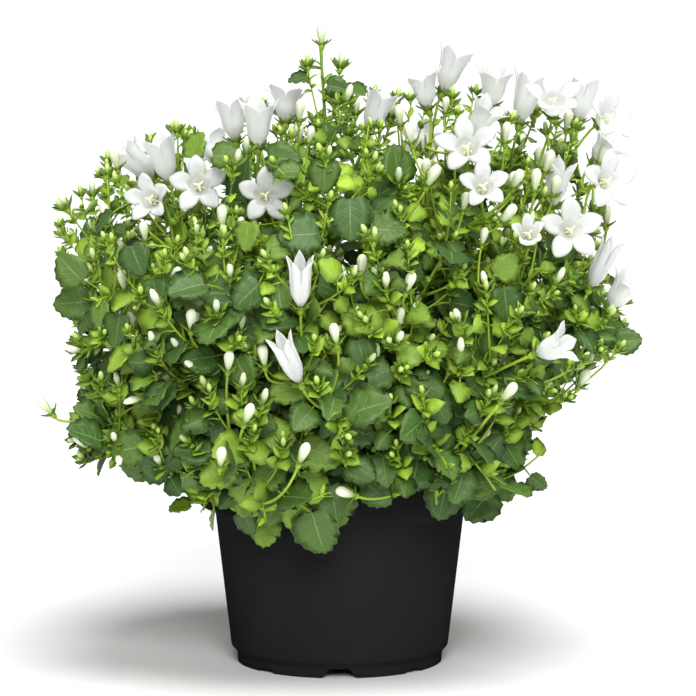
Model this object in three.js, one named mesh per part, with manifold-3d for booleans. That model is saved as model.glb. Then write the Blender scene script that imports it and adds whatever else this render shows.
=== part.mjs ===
// A potted dalmatian bellflower in white: a black plastic nursery pot, its root ball with soil, the
// leafy stems that grow from it, and the open flowers that they carry.
// Millimetres, +Z up. The origin is the middle of the pot's foot, and the viewer looks along +Y.

import * as THREE from "three";
import { mergeVertices } from "three/addons/utils/BufferGeometryUtils.js";
import Module from "manifold-3d";

const wasm = await Module();
wasm.setup();

// Driving sizes
const GAP = 0.3; // clearance between pieces that touch on the real plant
const POT = {
  rimRadius: 60,
  rimTop: 83.6,
  collarBottom: 68.2,
  ledgeDrop: 3,
  neckRadius: 53.2,
  bellyRadius: 47.1,
  bellyHeight: 13,
  heelRadius: 46.4,
  heelHeight: 7,
  footRadius: 44,
  footHeight: 4,
  wall: 1.4,
  floorThickness: 1.8,
  sides: 32,
};
const NOTCH = { count: 4, height: 4, topWidth: 8, bottomWidth: 14, flare: 1, flareHeight: 1.2, depth: 8 };
const DIP = { height: 1.3, width: 7, depth: 6 };
const DRAIN = { count: 6, radius: 4, ring: 27, sides: 6, cut: 12 };
const SOIL = { top: 75, roll: 1.1, sides: 16, holeDepth: 11, holeClearance: 0.65, holeSides: 5 };
const STEM = { radius: 1.45, tipRadius: 0.75, sides: 3, steps: 5, rootDepth: 10 };
const SHOOT = { radius: 1, tipRadius: 0.65, sides: 3, steps: 2 };
const STALK = { radius: 0.8, sides: 3, steps: 2, back: 9, sink: 5, bend: 0.45 };
const LEAF = {
  length: 19,
  width: 18,
  petiole: [6, 15],
  stalkWidth: 1.3,
  rootRadius: 0.5,
  thickness: 0.9,
  fold: 0.22,
  droop: 2.4,
  size: [0.85, 1.08],
  shrink: 0.22,
  clearance: 12.5,
};
const YOUNG_LEAF = {
  length: 11,
  width: 6.4,
  thickness: 0.8,
  fold: 0.2,
  size: [0.9, 1.15],
  clearance: 8,
  from: 0.86,
};
const BELL = { wall: 0.8, lobes: 5, shoulder: [0.42, 0.3], ridge: 0.6, ridgeInside: 0.35 };
const PISTIL = { floor: 1.7, radius: 0.8, lobeRadius: 1.9, lobes: 3, height: 0.95, tip: 0.4 };
const CALYX = { reach: 5.9, rise: 2.6, waist: 1.35, waistLift: 0.4, cup: 2.6, crown: 0.5, sepals: 5 };
const BUD = { length: 9.5, radius: 2.2, belly: 0.45, sides: 4, calyxScale: 0.85 };
const DEPTH = 116; // how far the leaves reach to the front and back
const GOLDEN_ANGLE = Math.PI * (3 - Math.sqrt(5));

// The bush's outline: how far its leaves reach to the left and to the right at each height.
const OUTLINE = [
  { height: 56, left: 44, right: 24 },
  { height: 68, left: 72, right: 68 },
  { height: 80, left: 84, right: 76 },
  { height: 88, left: 112, right: 80 },
  { height: 108, left: 115, right: 90 },
  { height: 122, left: 114, right: 102 },
  { height: 136, left: 112, right: 124 },
  { height: 155, left: 117, right: 122 },
  { height: 180, left: 120, right: 115 },
  { height: 196, left: 116, right: 112 },
  { height: 216, left: 96, right: 110 },
  { height: 232, left: 62, right: 100 },
  { height: 242, left: 26, right: 66 },
  { height: 262, left: 22, right: 10 },
];

// Each leafy stem: its tip, how far it leans out before it turns up (0 to 1), and the tips of its
// side shoots.
const STEMS = [
  { tip: [-8, -8, 262], lean: 0.3, shoots: [[-16, -38, 214]] },
  { tip: [-38, -20, 218], lean: 0.4, shoots: [[-50, -50, 190]] },
  { tip: [-74, -14, 200], lean: 0.5, shoots: [[-74, -44, 182], [-84, 26, 200], [-80, -58, 158]] },
  { tip: [-104, -20, 182], lean: 0.6, shoots: [[-100, -52, 160]] },
  { tip: [-112, -8, 146], lean: 0.75, shoots: [[-106, -40, 138], [-108, 28, 140], [-96, 14, 96]] },
  { tip: [-112, -30, 104], lean: 0.95, shoots: [[-92, -60, 98]] },
  { tip: [-94, -38, 90], lean: 1.05, shoots: [[-68, -52, 82]] },
  { tip: [-60, -82, 146], lean: 0.8, shoots: [[-78, -70, 124], [-44, -84, 172]] },
  { tip: [-18, -98, 138], lean: 0.85, shoots: [[-14, -84, 172], [2, -104, 112]] },
  { tip: [32, -88, 164], lean: 0.75, shoots: [[46, -74, 186]] },
  { tip: [66, -82, 142], lean: 0.8, shoots: [[84, -66, 126]] },
  { tip: [44, -90, 96], lean: 1.0, shoots: [[40, -70, 78], [64, -70, 84]] },
  { tip: [-48, -88, 96], lean: 1.0, shoots: [[-30, -76, 72]] },
  { tip: [92, -26, 112], lean: 0.95, shoots: [[70, -36, 80], [76, 12, 88]] },
  { tip: [116, -4, 138], lean: 0.85, shoots: [[102, -36, 142], [104, 28, 138]] },
  { tip: [84, -62, 176], lean: 0.7, shoots: [[100, -36, 166]] },
  { tip: [98, -22, 210], lean: 0.55, shoots: [[104, -40, 192], [110, 4, 204]] },
  { tip: [52, -48, 212], lean: 0.5, shoots: [[62, -64, 194]] },
  { tip: [54, 4, 224], lean: 0.4, shoots: [[36, -14, 226], [76, 8, 212], [84, 30, 196]] },
  { tip: [14, -2, 214], lean: 0.3, shoots: [[26, -44, 204], [4, 30, 222], [2, -66, 196]] },
  {
    tip: [-34, 40, 214],
    lean: 0.45,
    shoots: [[-62, 34, 198], [-18, 64, 194], [-52, 66, 176], [-10, 58, 224]],
  },
  { tip: [30, 46, 214], lean: 0.45, shoots: [[58, 42, 200], [8, 72, 190], [46, 72, 180]] },
  { tip: [-84, 52, 166], lean: 0.65, shoots: [[-98, 50, 138], [-70, 76, 146], [-106, 30, 168]] },
  { tip: [84, 54, 170], lean: 0.65, shoots: [[98, 48, 150], [70, 76, 150], [108, 30, 174]] },
  { tip: [0, 100, 152], lean: 0.8, shoots: [[-28, 102, 130], [4, 84, 84], [32, 100, 124], [-14, 90, 168]] },
  { tip: [-62, 84, 104], lean: 0.95, shoots: [[-82, 44, 88], [-40, 96, 90]] },
  { tip: [62, 84, 102], lean: 0.95, shoots: [[72, 44, 88], [38, 96, 88]] },
];

// Each open flower: the place where it sits on its stalk, the way it faces, the width across its lobe
// tips, and how far it is open, from a narrow bell (0) to a flat star (1).
const FLOWERS = [
  { seat: [-57, -44, 206], face: [-0.1, -1, 0.25], width: 25, open: 1 },
  { seat: [-31, -54, 204], face: [0.1, -1, 0.1], width: 24, open: 1 },
  { seat: [-75, -38, 200], face: [-0.35, -0.9, 0.2], width: 21, open: 0.8 },
  { seat: [-71, -20, 206], face: [-0.25, -0.1, 0.96], width: 19, open: 0.25 },
  { seat: [-78, 0, 206], face: [-0.72, 0.05, 0.68], width: 18, open: 0.35 },
  { seat: [-44, -2, 222], face: [-0.12, 0.05, 0.98], width: 19, open: 0.4 },
  { seat: [-34, -25, 221], face: [0.02, -0.15, 0.98], width: 19, open: 0.3 },
  { seat: [-23, 10, 229], face: [0.05, 0.2, 0.97], width: 21, open: 0.7 },
  { seat: [-15.5, -96, 162], face: [0, -0.35, 0.93], width: 13, open: 0.15 },
  { seat: [12, 5, 225], face: [0.35, 0, 0.93], width: 18, open: 0.35 },
  { seat: [37.5, -6, 236], face: [-0.2, -0.1, 0.95], width: 19, open: 0.6 },
  { seat: [43.5, 14, 242], face: [0.35, 0, 0.93], width: 19, open: 0.3 },
  { seat: [64.5, 8, 236], face: [0.1, -0.3, 0.94], width: 21, open: 0.4 },
  { seat: [53, -54, 220], face: [-0.1, -0.82, 0.56], width: 27, open: 1 },
  { seat: [55, -28, 227], face: [0.5, -0.3, 0.8], width: 19, open: 0.6 },
  { seat: [58, -72, 207], face: [0.05, -0.9, 0.35], width: 21, open: 0.9 },
  { seat: [75.5, -10, 230], face: [0.25, 0, 0.97], width: 17, open: 0.15 },
  { seat: [88, -36, 235], face: [0.05, -0.6, 0.8], width: 25, open: 0.75 },
  { seat: [101, 0, 230], face: [0.15, 0.1, 0.95], width: 18, open: 0.4 },
  { seat: [108, -22, 231], face: [0.5, -0.72, 0.4], width: 24, open: 0.9 },
  { seat: [107, -44, 208], face: [0.42, -0.86, 0.2], width: 26, open: 1 },
  { seat: [107, 4, 212], face: [0.6, -0.1, 0.7], width: 21, open: 0.8 },
  { seat: [77, -78, 187], face: [-0.05, -0.85, 0.45], width: 14, open: 0.75 },
  { seat: [94, -56, 189], face: [0.1, -0.95, 0.2], width: 27, open: 1 },
  { seat: [88, -36, 197], face: [0.2, -0.2, 0.95], width: 16, open: 0.3 },
  { seat: [113, -15, 153], face: [0.55, -0.3, 0.7], width: 19, open: 0.55 },
  { seat: [104, -40, 164], face: [0.4, -0.2, 0.85], width: 12, open: 0.1 },
  { seat: [79, -86, 142], face: [0.8, -0.35, 0.35], width: 19, open: 0.6 },
  { seat: [-15.5, -101, 132], face: [-0.35, -0.35, 0.8], width: 12, open: 0.1 },
  { seat: [-52, 58, 208], face: [-0.3, 0.7, 0.6], width: 23, open: 0.9 },
  { seat: [34, 66, 212], face: [0.2, 0.8, 0.5], width: 24, open: 0.9 },
];

// The large pale buds: the place where each sits on its stalk, and the way it points.
const BUDS = [
  { seat: [-7.5, -8, 263.5], face: [0, 0, 1] },
  { seat: [-89, -45, 164], face: [-0.15, -0.3, 0.9] },
  { seat: [-69, -62, 168], face: [0.4, -0.5, 0.8] },
  { seat: [-60, -86, 152], face: [0.05, -0.3, 0.95] },
  { seat: [-48, -98, 98], face: [0.1, -0.4, 0.9] },
  { seat: [-38, -100, 116], face: [0.3, -0.4, 0.85] },
  { seat: [-30, -92, 138], face: [-0.1, -0.3, 0.95] },
  { seat: [-45, -90, 136], face: [0.1, -0.4, 0.9] },
  { seat: [-16, -102, 100], face: [0.35, -0.3, 0.9] },
  { seat: [-1, -98, 148], face: [-0.15, -0.3, 0.95] },
  { seat: [9, -84, 174], face: [0.05, -0.3, 0.95] },
  { seat: [27, -90, 168], face: [0.3, -0.3, 0.9] },
  { seat: [6, -84, 84], face: [-0.7, -0.5, 0.3] },
  { seat: [66, -90, 124], face: [0.5, -0.4, 0.7] },
  { seat: [-17, -12, 222], face: [0, -0.2, 1] },
  { seat: [-93, -18, 212], face: [-0.2, -0.1, 1] },
  { seat: [71, -62, 208], face: [0.35, -0.4, 0.8] },
  { seat: [80, -58, 206], face: [0.1, -0.3, 0.95] },
  { seat: [-96, -28, 190], face: [-0.3, -0.2, 0.9] },
  { seat: [-120.5, -30, 110], face: [-0.6, -0.1, 0.7] },
  { seat: [-104, -58, 100], face: [-0.5, -0.5, 0.6] },
  { seat: [35, -52, 210], face: [0.1, -0.4, 0.9] },
  { seat: [100, -34, 122], face: [0.4, -0.3, 0.8] },
  { seat: [-112, 30, 144], face: [-0.5, 0.2, 0.8] },
  { seat: [-96, 54, 146], face: [-0.4, 0.4, 0.8] },
  { seat: [0, 108, 158], face: [0, 0.45, 0.85] },
  { seat: [34, 104, 140], face: [0.2, 0.5, 0.8] },
  { seat: [92, 58, 176], face: [0.3, 0.3, 0.9] },
  { seat: [-36, 46, 220], face: [-0.1, 0.2, 1] },
  { seat: [66, 88, 110], face: [0.3, 0.5, 0.8] },
  { seat: [66, -76, 195], face: [0.55, -0.3, 0.75] },
  { seat: [112, -18, 188], face: [0.05, -0.1, 1] },
  { seat: [84, -24, 213], face: [-0.05, -0.2, 1] },
];

// Seeded draws, so that the plant is the same each time.
let drawState = 2024;
function draw(low, high) {
  drawState = (drawState * 1664525 + 1013904223) % 4294967296;
  return low + ((high - low) * drawState) / 4294967296;
}

const UP = new THREE.Vector3(0, 0, 1);
const vector = (list) => new THREE.Vector3(...list);
const along = (origin, ...steps) =>
  steps.reduce((p, [direction, distance]) => p.addScaledVector(direction, distance), origin.clone());

// A unit vector square to the axis, as near as can be to the wished direction.
function squareTo(axis, wish) {
  const side = along(wish, [axis, -wish.dot(axis)]);
  return side.lengthSq() > 1e-6 ? side.normalize() : squareTo(axis, new THREE.Vector3(0.3, 0.8, 0.5));
}

// Solids

function solidOf(points, faces) {
  const mesh = new wasm.Mesh({
    numProp: 3,
    vertProperties: new Float32Array(points.flatMap((p) => [p.x, p.y, p.z])),
    triVerts: new Uint32Array(faces.flat()),
  });
  const made = new wasm.Manifold(mesh);
  return made.volume() < 0 ? solidOf(points, faces.map(([a, b, c]) => [a, c, b])) : made;
}

function solidOfGeometry(geometry) {
  geometry.deleteAttribute("normal");
  geometry.deleteAttribute("uv");
  const merged = mergeVertices(geometry, 1e-4);
  return new wasm.Manifold(
    new wasm.Mesh({
      numProp: 3,
      vertProperties: merged.attributes.position.array,
      triVerts: new Uint32Array(merged.index.array),
    }),
  );
}

// A solid without the slivers that cutting and joining leave along its seams. Points nearer than the
// width are drawn together, which on the pot is finer.
const SEAM = 0.09;
const FINE_SEAM = 0.01;
const clean = (solid, width = SEAM) => solid.asOriginal().simplify(width);
const fuse = (solids) => clean(solids.reduce((whole, next) => whole.add(next)));

function meshOf(solid, name, material) {
  const { vertProperties, triVerts, numProp } = solid.getMesh();
  const positions = new Float32Array(triVerts.length * 3);
  triVerts.forEach((vertex, corner) => {
    positions.set(vertProperties.subarray(vertex * numProp, vertex * numProp + 3), corner * 3);
  });
  const geometry = new THREE.BufferGeometry();
  geometry.setAttribute("position", new THREE.BufferAttribute(positions, 3));
  geometry.computeVertexNormals();
  const mesh = new THREE.Mesh(geometry, material);
  mesh.name = name;
  return mesh;
}

// The side and other vectors square to a path at each of its points, carried along it without twist.
function framesAlong(points, wish) {
  const last = points.length - 1;
  let side = wish;
  return points.map((point, i) => {
    const tangent = points[Math.min(i + 1, last)].clone().sub(points[Math.max(i - 1, 0)]).normalize();
    side = squareTo(tangent, side);
    return { point, side, other: tangent.clone().cross(side) };
  });
}

// Points round a frame. radiusAt gives each point's radius and its lift along the axis.
function ringOf({ point, side, other }, count, radiusAt) {
  const axis = side.clone().cross(other);
  return Array.from({ length: count }, (_, k) => {
    const angle = (2 * Math.PI * k) / count;
    const [radius, lift] = radiusAt(k);
    return along(point, [side, radius * Math.cos(angle)], [other, radius * Math.sin(angle)], [axis, lift]);
  });
}

// The triangles between two rings of vertex numbers, which may differ in their count.
function band(low, high) {
  const faces = [];
  let [i, j] = [0, 0];
  const lowEnd = low.length > 1 ? low.length : 0;
  const highEnd = high.length > 1 ? high.length : 0;
  while (i < lowEnd || j < highEnd) {
    const stepLow = j === highEnd || (i < lowEnd && (i + 1) / lowEnd <= (j + 1) / highEnd);
    const [a, b] = [low[i % low.length], high[j % high.length]];
    if (stepLow) faces.push([a, low[(i + 1) % low.length], b]);
    else faces.push([a, high[(j + 1) % high.length], b]);
    if (stepLow) i += 1;
    else j += 1;
  }
  return faces;
}

// A closed solid over rings of points. A ring of one point is a tip, and an open end gets a flat cap.
function loft(rings) {
  let count = 0;
  const numbers = rings.map((ring) => ring.map(() => count++));
  const faces = numbers.slice(1).flatMap((ring, k) => band(numbers[k], ring));
  const [first, last] = [numbers[0], numbers.at(-1)];
  for (let k = 1; k < first.length - 1; k++) faces.push([first[0], first[k + 1], first[k]]);
  for (let k = 1; k < last.length - 1; k++) faces.push([last[0], last[k], last[k + 1]]);
  return solidOf(rings.flat(), faces);
}

// A closed round bar through the points, its radius going evenly from the first value to the second.
function bar(points, startRadius, endRadius, sides) {
  const frames = framesAlong(points, new THREE.Vector3(1, 0.2, 0));
  const radius = (i) => startRadius + ((endRadius - startRadius) * i) / (points.length - 1);
  return loft(frames.map((frame, i) => ringOf(frame, sides, () => [radius(i), 0])));
}

// The pot

function potSolid() {
  const p = POT;
  const outer = [
    [p.footRadius, 0],
    [p.footRadius, p.footHeight],
    [p.heelRadius, p.heelHeight],
    [p.bellyRadius, p.bellyHeight],
    [p.neckRadius, p.collarBottom - p.ledgeDrop],
    [p.rimRadius, p.collarBottom],
    [p.rimRadius, p.rimTop],
  ];
  const floor = p.heelHeight + p.floorThickness;
  const inner = [
    [p.rimRadius - p.wall, p.rimTop],
    [p.rimRadius - p.wall, p.collarBottom + p.wall],
    [p.neckRadius - p.wall, p.collarBottom - p.ledgeDrop + p.wall],
    [p.heelRadius - p.wall, floor],
    [0, floor],
  ];
  const recess = p.footHeight + 1;
  const underside = [
    [0, recess],
    [p.footRadius - 2 * p.wall, recess],
    [p.footRadius - 2 * p.wall, 0],
  ];
  const profile = [...outer, ...inner, ...underside, outer[0]].map(([r, z]) => new THREE.Vector2(r, z));
  const body = new THREE.LatheGeometry(profile, p.sides).rotateX(Math.PI / 2);
  let pot = solidOfGeometry(body);
  const notch = new THREE.Shape(
    [
      [-NOTCH.bottomWidth / 2, -1],
      [NOTCH.bottomWidth / 2, -1],
      [NOTCH.bottomWidth / 2 - NOTCH.flare, NOTCH.flareHeight],
      [NOTCH.topWidth / 2, NOTCH.height],
      [-NOTCH.topWidth / 2, NOTCH.height],
      [NOTCH.flare - NOTCH.bottomWidth / 2, NOTCH.flareHeight],
    ].map(([x, z]) => new THREE.Vector2(x, z)),
  );
  for (let k = 0; k < NOTCH.count; k++) {
    const turn = (2 * Math.PI * k) / NOTCH.count;
    const cutter = new THREE.ExtrudeGeometry(notch, { depth: 1.5 * NOTCH.depth, bevelEnabled: false });
    cutter.rotateX(Math.PI / 2).translate(0, -p.footRadius + NOTCH.depth, 0).rotateZ(turn);
    pot = pot.subtract(solidOfGeometry(cutter));
    const dip = new THREE.BoxGeometry(DIP.width, 2 * DIP.depth, 2 * DIP.height);
    dip.translate(0, -p.footRadius, 0).rotateZ(turn + Math.PI / NOTCH.count);
    pot = pot.subtract(solidOfGeometry(dip));
  }
  for (let k = 0; k < DRAIN.count; k++) {
    const angle = (2 * Math.PI * (k + 0.5)) / DRAIN.count;
    const hole = new THREE.CylinderGeometry(DRAIN.radius, DRAIN.radius, DRAIN.cut, DRAIN.sides);
    hole.rotateX(Math.PI / 2);
    hole.translate(DRAIN.ring * Math.cos(angle), DRAIN.ring * Math.sin(angle), floor);
    pot = pot.subtract(solidOfGeometry(hole));
  }
  return clean(pot, FINE_SEAM);
}

// The root ball with its soil, which fills the pot and has a plain hole for each stem.

// The soil's surface rolls a little, in waves about 50 mm long.
const soilHeight = (x, y) => SOIL.top + SOIL.roll * Math.sin(x * 0.13 + 1) * Math.cos(y * 0.11);

function soilSolid(roots) {
  const p = POT;
  const inside = p.wall + GAP;
  const floor = p.heelHeight + p.floorThickness + GAP;
  const profile = [
    [0, floor],
    [p.heelRadius - inside, floor],
    [p.neckRadius - inside, p.collarBottom - p.ledgeDrop + p.wall],
    [p.rimRadius - inside, p.collarBottom + p.wall + 1],
    [p.rimRadius - inside, SOIL.top],
    [(p.rimRadius * 2) / 3, SOIL.top],
    [p.rimRadius / 3, SOIL.top],
    [0, SOIL.top],
  ].map(([r, z]) => new THREE.Vector2(r, z));
  const ball = new THREE.LatheGeometry(profile, SOIL.sides).rotateX(Math.PI / 2);
  const position = ball.getAttribute("position");
  for (let i = 0; i < position.count; i++) {
    const [x, y, z] = [position.getX(i), position.getY(i), position.getZ(i)];
    if (z > SOIL.top - 0.5) position.setZ(i, soilHeight(x, y));
  }
  const radius = STEM.radius + SOIL.holeClearance;
  const holes = roots.map((root) => {
    const hole = new THREE.CylinderGeometry(radius, radius, 2 * SOIL.holeDepth, SOIL.holeSides);
    return solidOfGeometry(hole.rotateX(Math.PI / 2).translate(root.x, root.y, SOIL.top));
  });
  return clean(holes.reduce((soil, hole) => soil.subtract(hole), solidOfGeometry(ball)));
}

// The skeleton of the plant: every stem, shoot and stalk is a quadratic curve. Its samples serve to test
// distances, and its bar runs along a coarser path, on which all that it carries stands.
const SAMPLES = 12;
function line(start, control, end, steps) {
  const curve = new THREE.QuadraticBezierCurve3(start, control, end);
  return { curve, points: curve.getPoints(SAMPLES), path: curve.getPoints(steps), steps };
}

function onPath({ path, steps }, t) {
  const step = Math.min(Math.floor(t * steps), steps - 1);
  return path[step].clone().lerp(path[step + 1], t * steps - step);
}

// The stem rises from its root, leans out by its share and then bends to its tip. The roots of the
// stems that lean out furthest stand nearest to the pot's wall, and each stem first clears the rim.
const GROWTH = { inner: 0.2, spread: 0.22, outward: 0.45, rise: 0.62, clearRim: 46, rootLift: 2 };

function mainLine(stem) {
  const tip = vector(stem.tip);
  const share = GROWTH.inner + GROWTH.spread * stem.lean;
  const root = new THREE.Vector3(tip.x * share, tip.y * share, SOIL.top + GROWTH.rootLift);
  const outward = GROWTH.outward * stem.lean;
  const control = new THREE.Vector3(
    root.x + (tip.x - root.x) * outward,
    root.y + (tip.y - root.y) * outward,
    root.z + Math.max((tip.z - root.z) * GROWTH.rise, GROWTH.clearRim),
  );
  return line(root, control, tip, STEM.steps);
}

// The point of a stem's lines that lies nearest to a place.
function nearest(lines, place) {
  let best = { distance: Infinity };
  lines.forEach((one, index) => {
    one.points.forEach((point, sample) => {
      const distance = point.distanceTo(place);
      if (distance < best.distance) best = { distance, index, sample, point };
    });
  });
  return best;
}

// A side shoot leaves the stem a little below the point nearest to its tip, and arches over to it. A
// shoot whose tip hangs by the rim arches higher, so that it clears the pot.
const ARCH = { height: 0.16, overRim: 2.2, belowNearest: 2, lowest: 3 };

function shootLine(main, tipList) {
  const tip = vector(tipList);
  const { sample } = nearest([main], tip);
  const low = Math.max(ARCH.lowest, Math.min(sample - ARCH.belowNearest, SAMPLES - ARCH.lowest));
  const step = Math.floor((low / SAMPLES) * STEM.steps);
  const start = onPath(main, (step + 0.5) / STEM.steps);
  const span = tip.clone().sub(start);
  const arch = ARCH.height * span.length() * (tip.z > POT.rimTop + 1.4 ? 1 : ARCH.overRim);
  const control = along(start, [span, 0.5], [UP, arch]);
  return line(start, control, tip, SHOOT.steps);
}

// A stalk runs from the nearest shoot to a flower's or bud's seat and meets it along its axis.
function stalkLine(stems, seat, face) {
  const foot = along(seat, [face, -STALK.back], [UP, -STALK.sink]);
  let best = { distance: Infinity };
  stems.forEach((stem) => {
    const found = nearest(stem.lines, foot);
    if (found.distance < best.distance) best = { ...found, stem };
  });
  const start = onPath(best.stem.lines[best.index], best.sample / SAMPLES);
  const end = along(seat, [face, -CALYX.cup]);
  const control = along(end, [face, -STALK.bend * start.distanceTo(seat)]);
  return { stem: best.stem, ...line(start, control, end, STALK.steps) };
}

// Leaves

// Half outlines as [distance along the blade, distance from the rib], both as shares of the size.
const LEAF_HALF = [
  [0, 0.06],
  [-0.06, 0.41],
  [0.27, 0.38],
  [0.46, 0.46],
];
const YOUNG_HALF = [
  [0.26, 0.36],
  [0.44, 0.3],
  [0.62, 0.34],
];

// The points of a full leaf: a narrow petiole, and a blade folded a little along its rib, whose two
// faces meet in its toothed edge.
function leafPoints({ root, petiole, forward, normal, reach }, scale) {
  const side = forward.clone().cross(normal);
  const [length, width] = [LEAF.length * scale, LEAF.width * scale];
  const base = along(root, [petiole, reach]);
  const onBlade = (u, v) =>
    along(
      base,
      [forward, u * length],
      [side, v * width],
      [normal, LEAF.fold * Math.abs(v) * width - LEAF.droop * scale * u * u],
    );
  const half = (sign) => LEAF_HALF.map(([u, v]) => onBlade(u, sign * v));
  const edge = [...half(1), onBlade(1, 0), ...half(-1).reverse()];
  return { edge, base, middle: onBlade(0.5, 0), side };
}

// The top is a fan round the blade's middle and a flat petiole. Below, the rib stands out as a keel
// that runs back along the petiole to its root.
function leafSolid(place, scale) {
  const { edge, base, middle, side } = leafPoints(place, scale);
  const { root, normal } = place;
  const half = LEAF.thickness / 2;
  const points = [
    ...edge,
    along(root, [side, LEAF.rootRadius], [normal, LEAF.rootRadius / 2]),
    along(root, [side, -LEAF.rootRadius], [normal, LEAF.rootRadius / 2]),
    along(root, [normal, -LEAF.rootRadius]),
    along(base, [normal, -LEAF.thickness]),
    along(middle, [normal, half]),
    along(middle, [normal, -half]),
  ];
  const count = edge.length;
  const [right, left, foot, keel, top, under] = points.slice(count).map((_, k) => count + k);
  const ring = edge.map((_, k) => k);
  const last = count - 1;
  const faces = [
    ...band(ring, [top]),
    [right, 0, last],
    [right, last, left],
    ...band([under], [...ring, keel]),
    [right, foot, keel],
    [right, keel, 0],
    [left, keel, foot],
    [left, last, keel],
    [right, left, foot],
  ];
  return solidOf(points, faces);
}

// A young leaf is a narrow folded blade that sits on its stem with no petiole.
function youngPoints({ root, forward, normal }, scale) {
  const side = forward.clone().cross(normal);
  const [length, width] = [YOUNG_LEAF.length * scale, YOUNG_LEAF.width * scale];
  const onBlade = (u, v) => {
    const lift = YOUNG_LEAF.fold * Math.abs(v) * width;
    return along(root, [forward, u * length], [side, v * width], [normal, lift]);
  };
  const half = (sign) => YOUNG_HALF.map(([u, v]) => onBlade(u, sign * v));
  const edge = [onBlade(-0.1, 0), ...half(1), onBlade(1, 0), ...half(-1).reverse()];
  return { edge, middle: onBlade(0.42, 0) };
}

function youngSolid(place, scale) {
  const { edge, middle } = youngPoints(place, scale);
  const half = YOUNG_LEAF.thickness / 2;
  return loft([[along(middle, [place.normal, -half])], edge, [along(middle, [place.normal, half])]]);
}

// A leaf turns out from its stem at the given angle, lifts with it, and shows its face up and out, and
// a little to the front, where the light comes from.
const TURN = { edge: 110, petioleRise: 0.7, petioleOut: 0.35, bladeOut: 0.6, faceUp: 0.75, faceFront: 0.15 };
const FRONT = new THREE.Vector3(0, -1, 0);

function leafPlace(point, tangent, angle, lift) {
  const outward = new THREE.Vector3(point.x, point.y, 0).multiplyScalar(1 / TURN.edge);
  const across = squareTo(tangent, along(outward, [UP, 0.1]));
  const other = tangent.clone().cross(across);
  const spoke = along(new THREE.Vector3(), [across, Math.cos(angle)], [other, Math.sin(angle)]);
  const petiole = along(spoke, [tangent, TURN.petioleRise], [outward, TURN.petioleOut]).normalize();
  const forward = along(spoke, [outward, TURN.bladeOut], [UP, lift]).normalize();
  const normal = squareTo(forward, along(outward, [UP, TURN.faceUp], [FRONT, TURN.faceFront]));
  return { root: point.clone(), petiole, forward, normal };
}

// A flower's stalk with its calyx, which is a star of narrow sepals round a cup. A bud stands in it as
// a pointed spindle, and an open flower's corolla sits on its crown.
const WISH = new THREE.Vector3(0.9, 0.3, 0.3);

function stalkSolid({ path, seat, axis, scale, bud }) {
  const side = squareTo(axis, WISH);
  const cup = { point: seat, side, other: side.clone().cross(axis) };
  const star = ringOf(cup, 2 * CALYX.sepals, (k) =>
    k % 2 === 0 ? [CALYX.reach * scale, CALYX.rise * scale] : [CALYX.waist, CALYX.waistLift],
  );
  const belly = ringOf(cup, BUD.sides, () => [BUD.radius, -BUD.belly * BUD.length]);
  const top = bud ? [[along(seat, [axis, BUD.length])], belly] : [[along(seat, [axis, CALYX.crown])]];
  const frames = framesAlong(path.toReversed(), side);
  const stalk = frames.map((frame) => ringOf(frame, STALK.sides, () => [STALK.radius, 0]));
  return loft([...top, star, ...stalk]);
}

// The corolla is a five-sided bell whose rim runs out into five pointed lobes. Each row stands at a share
// of the flower's half width plus a fixed radius, and at a height: first in a narrow bell, whose lobes
// stand up, and then in a wide open star.
const CLOSED = {
  belly: [0.2, 2.3, 5.4],
  rim: [0.34, 2, 11.6],
  shoulder: [0.64, 0.6, 18.6],
  tip: [1, 0, 24.4],
};
const STAR = {
  belly: [0.2, 2.3, 4.2],
  rim: [0.22, 2.4, 7.4],
  shoulder: [0.72, 0, 10],
  tip: [1, 0, 9.6],
};

function flowerForm({ width, open }) {
  const between = (closed, star) => closed + (star - closed) * open;
  const row = (name) => {
    const [share, added, height] = CLOSED[name].map((value, i) => between(value, STAR[name][i]));
    return { radius: (share * width) / 2 + added, height };
  };
  const turn = between(...BELL.shoulder);
  return { belly: row("belly"), rim: row("rim"), shoulder: row("shoulder"), tip: row("tip"), turn };
}

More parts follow.
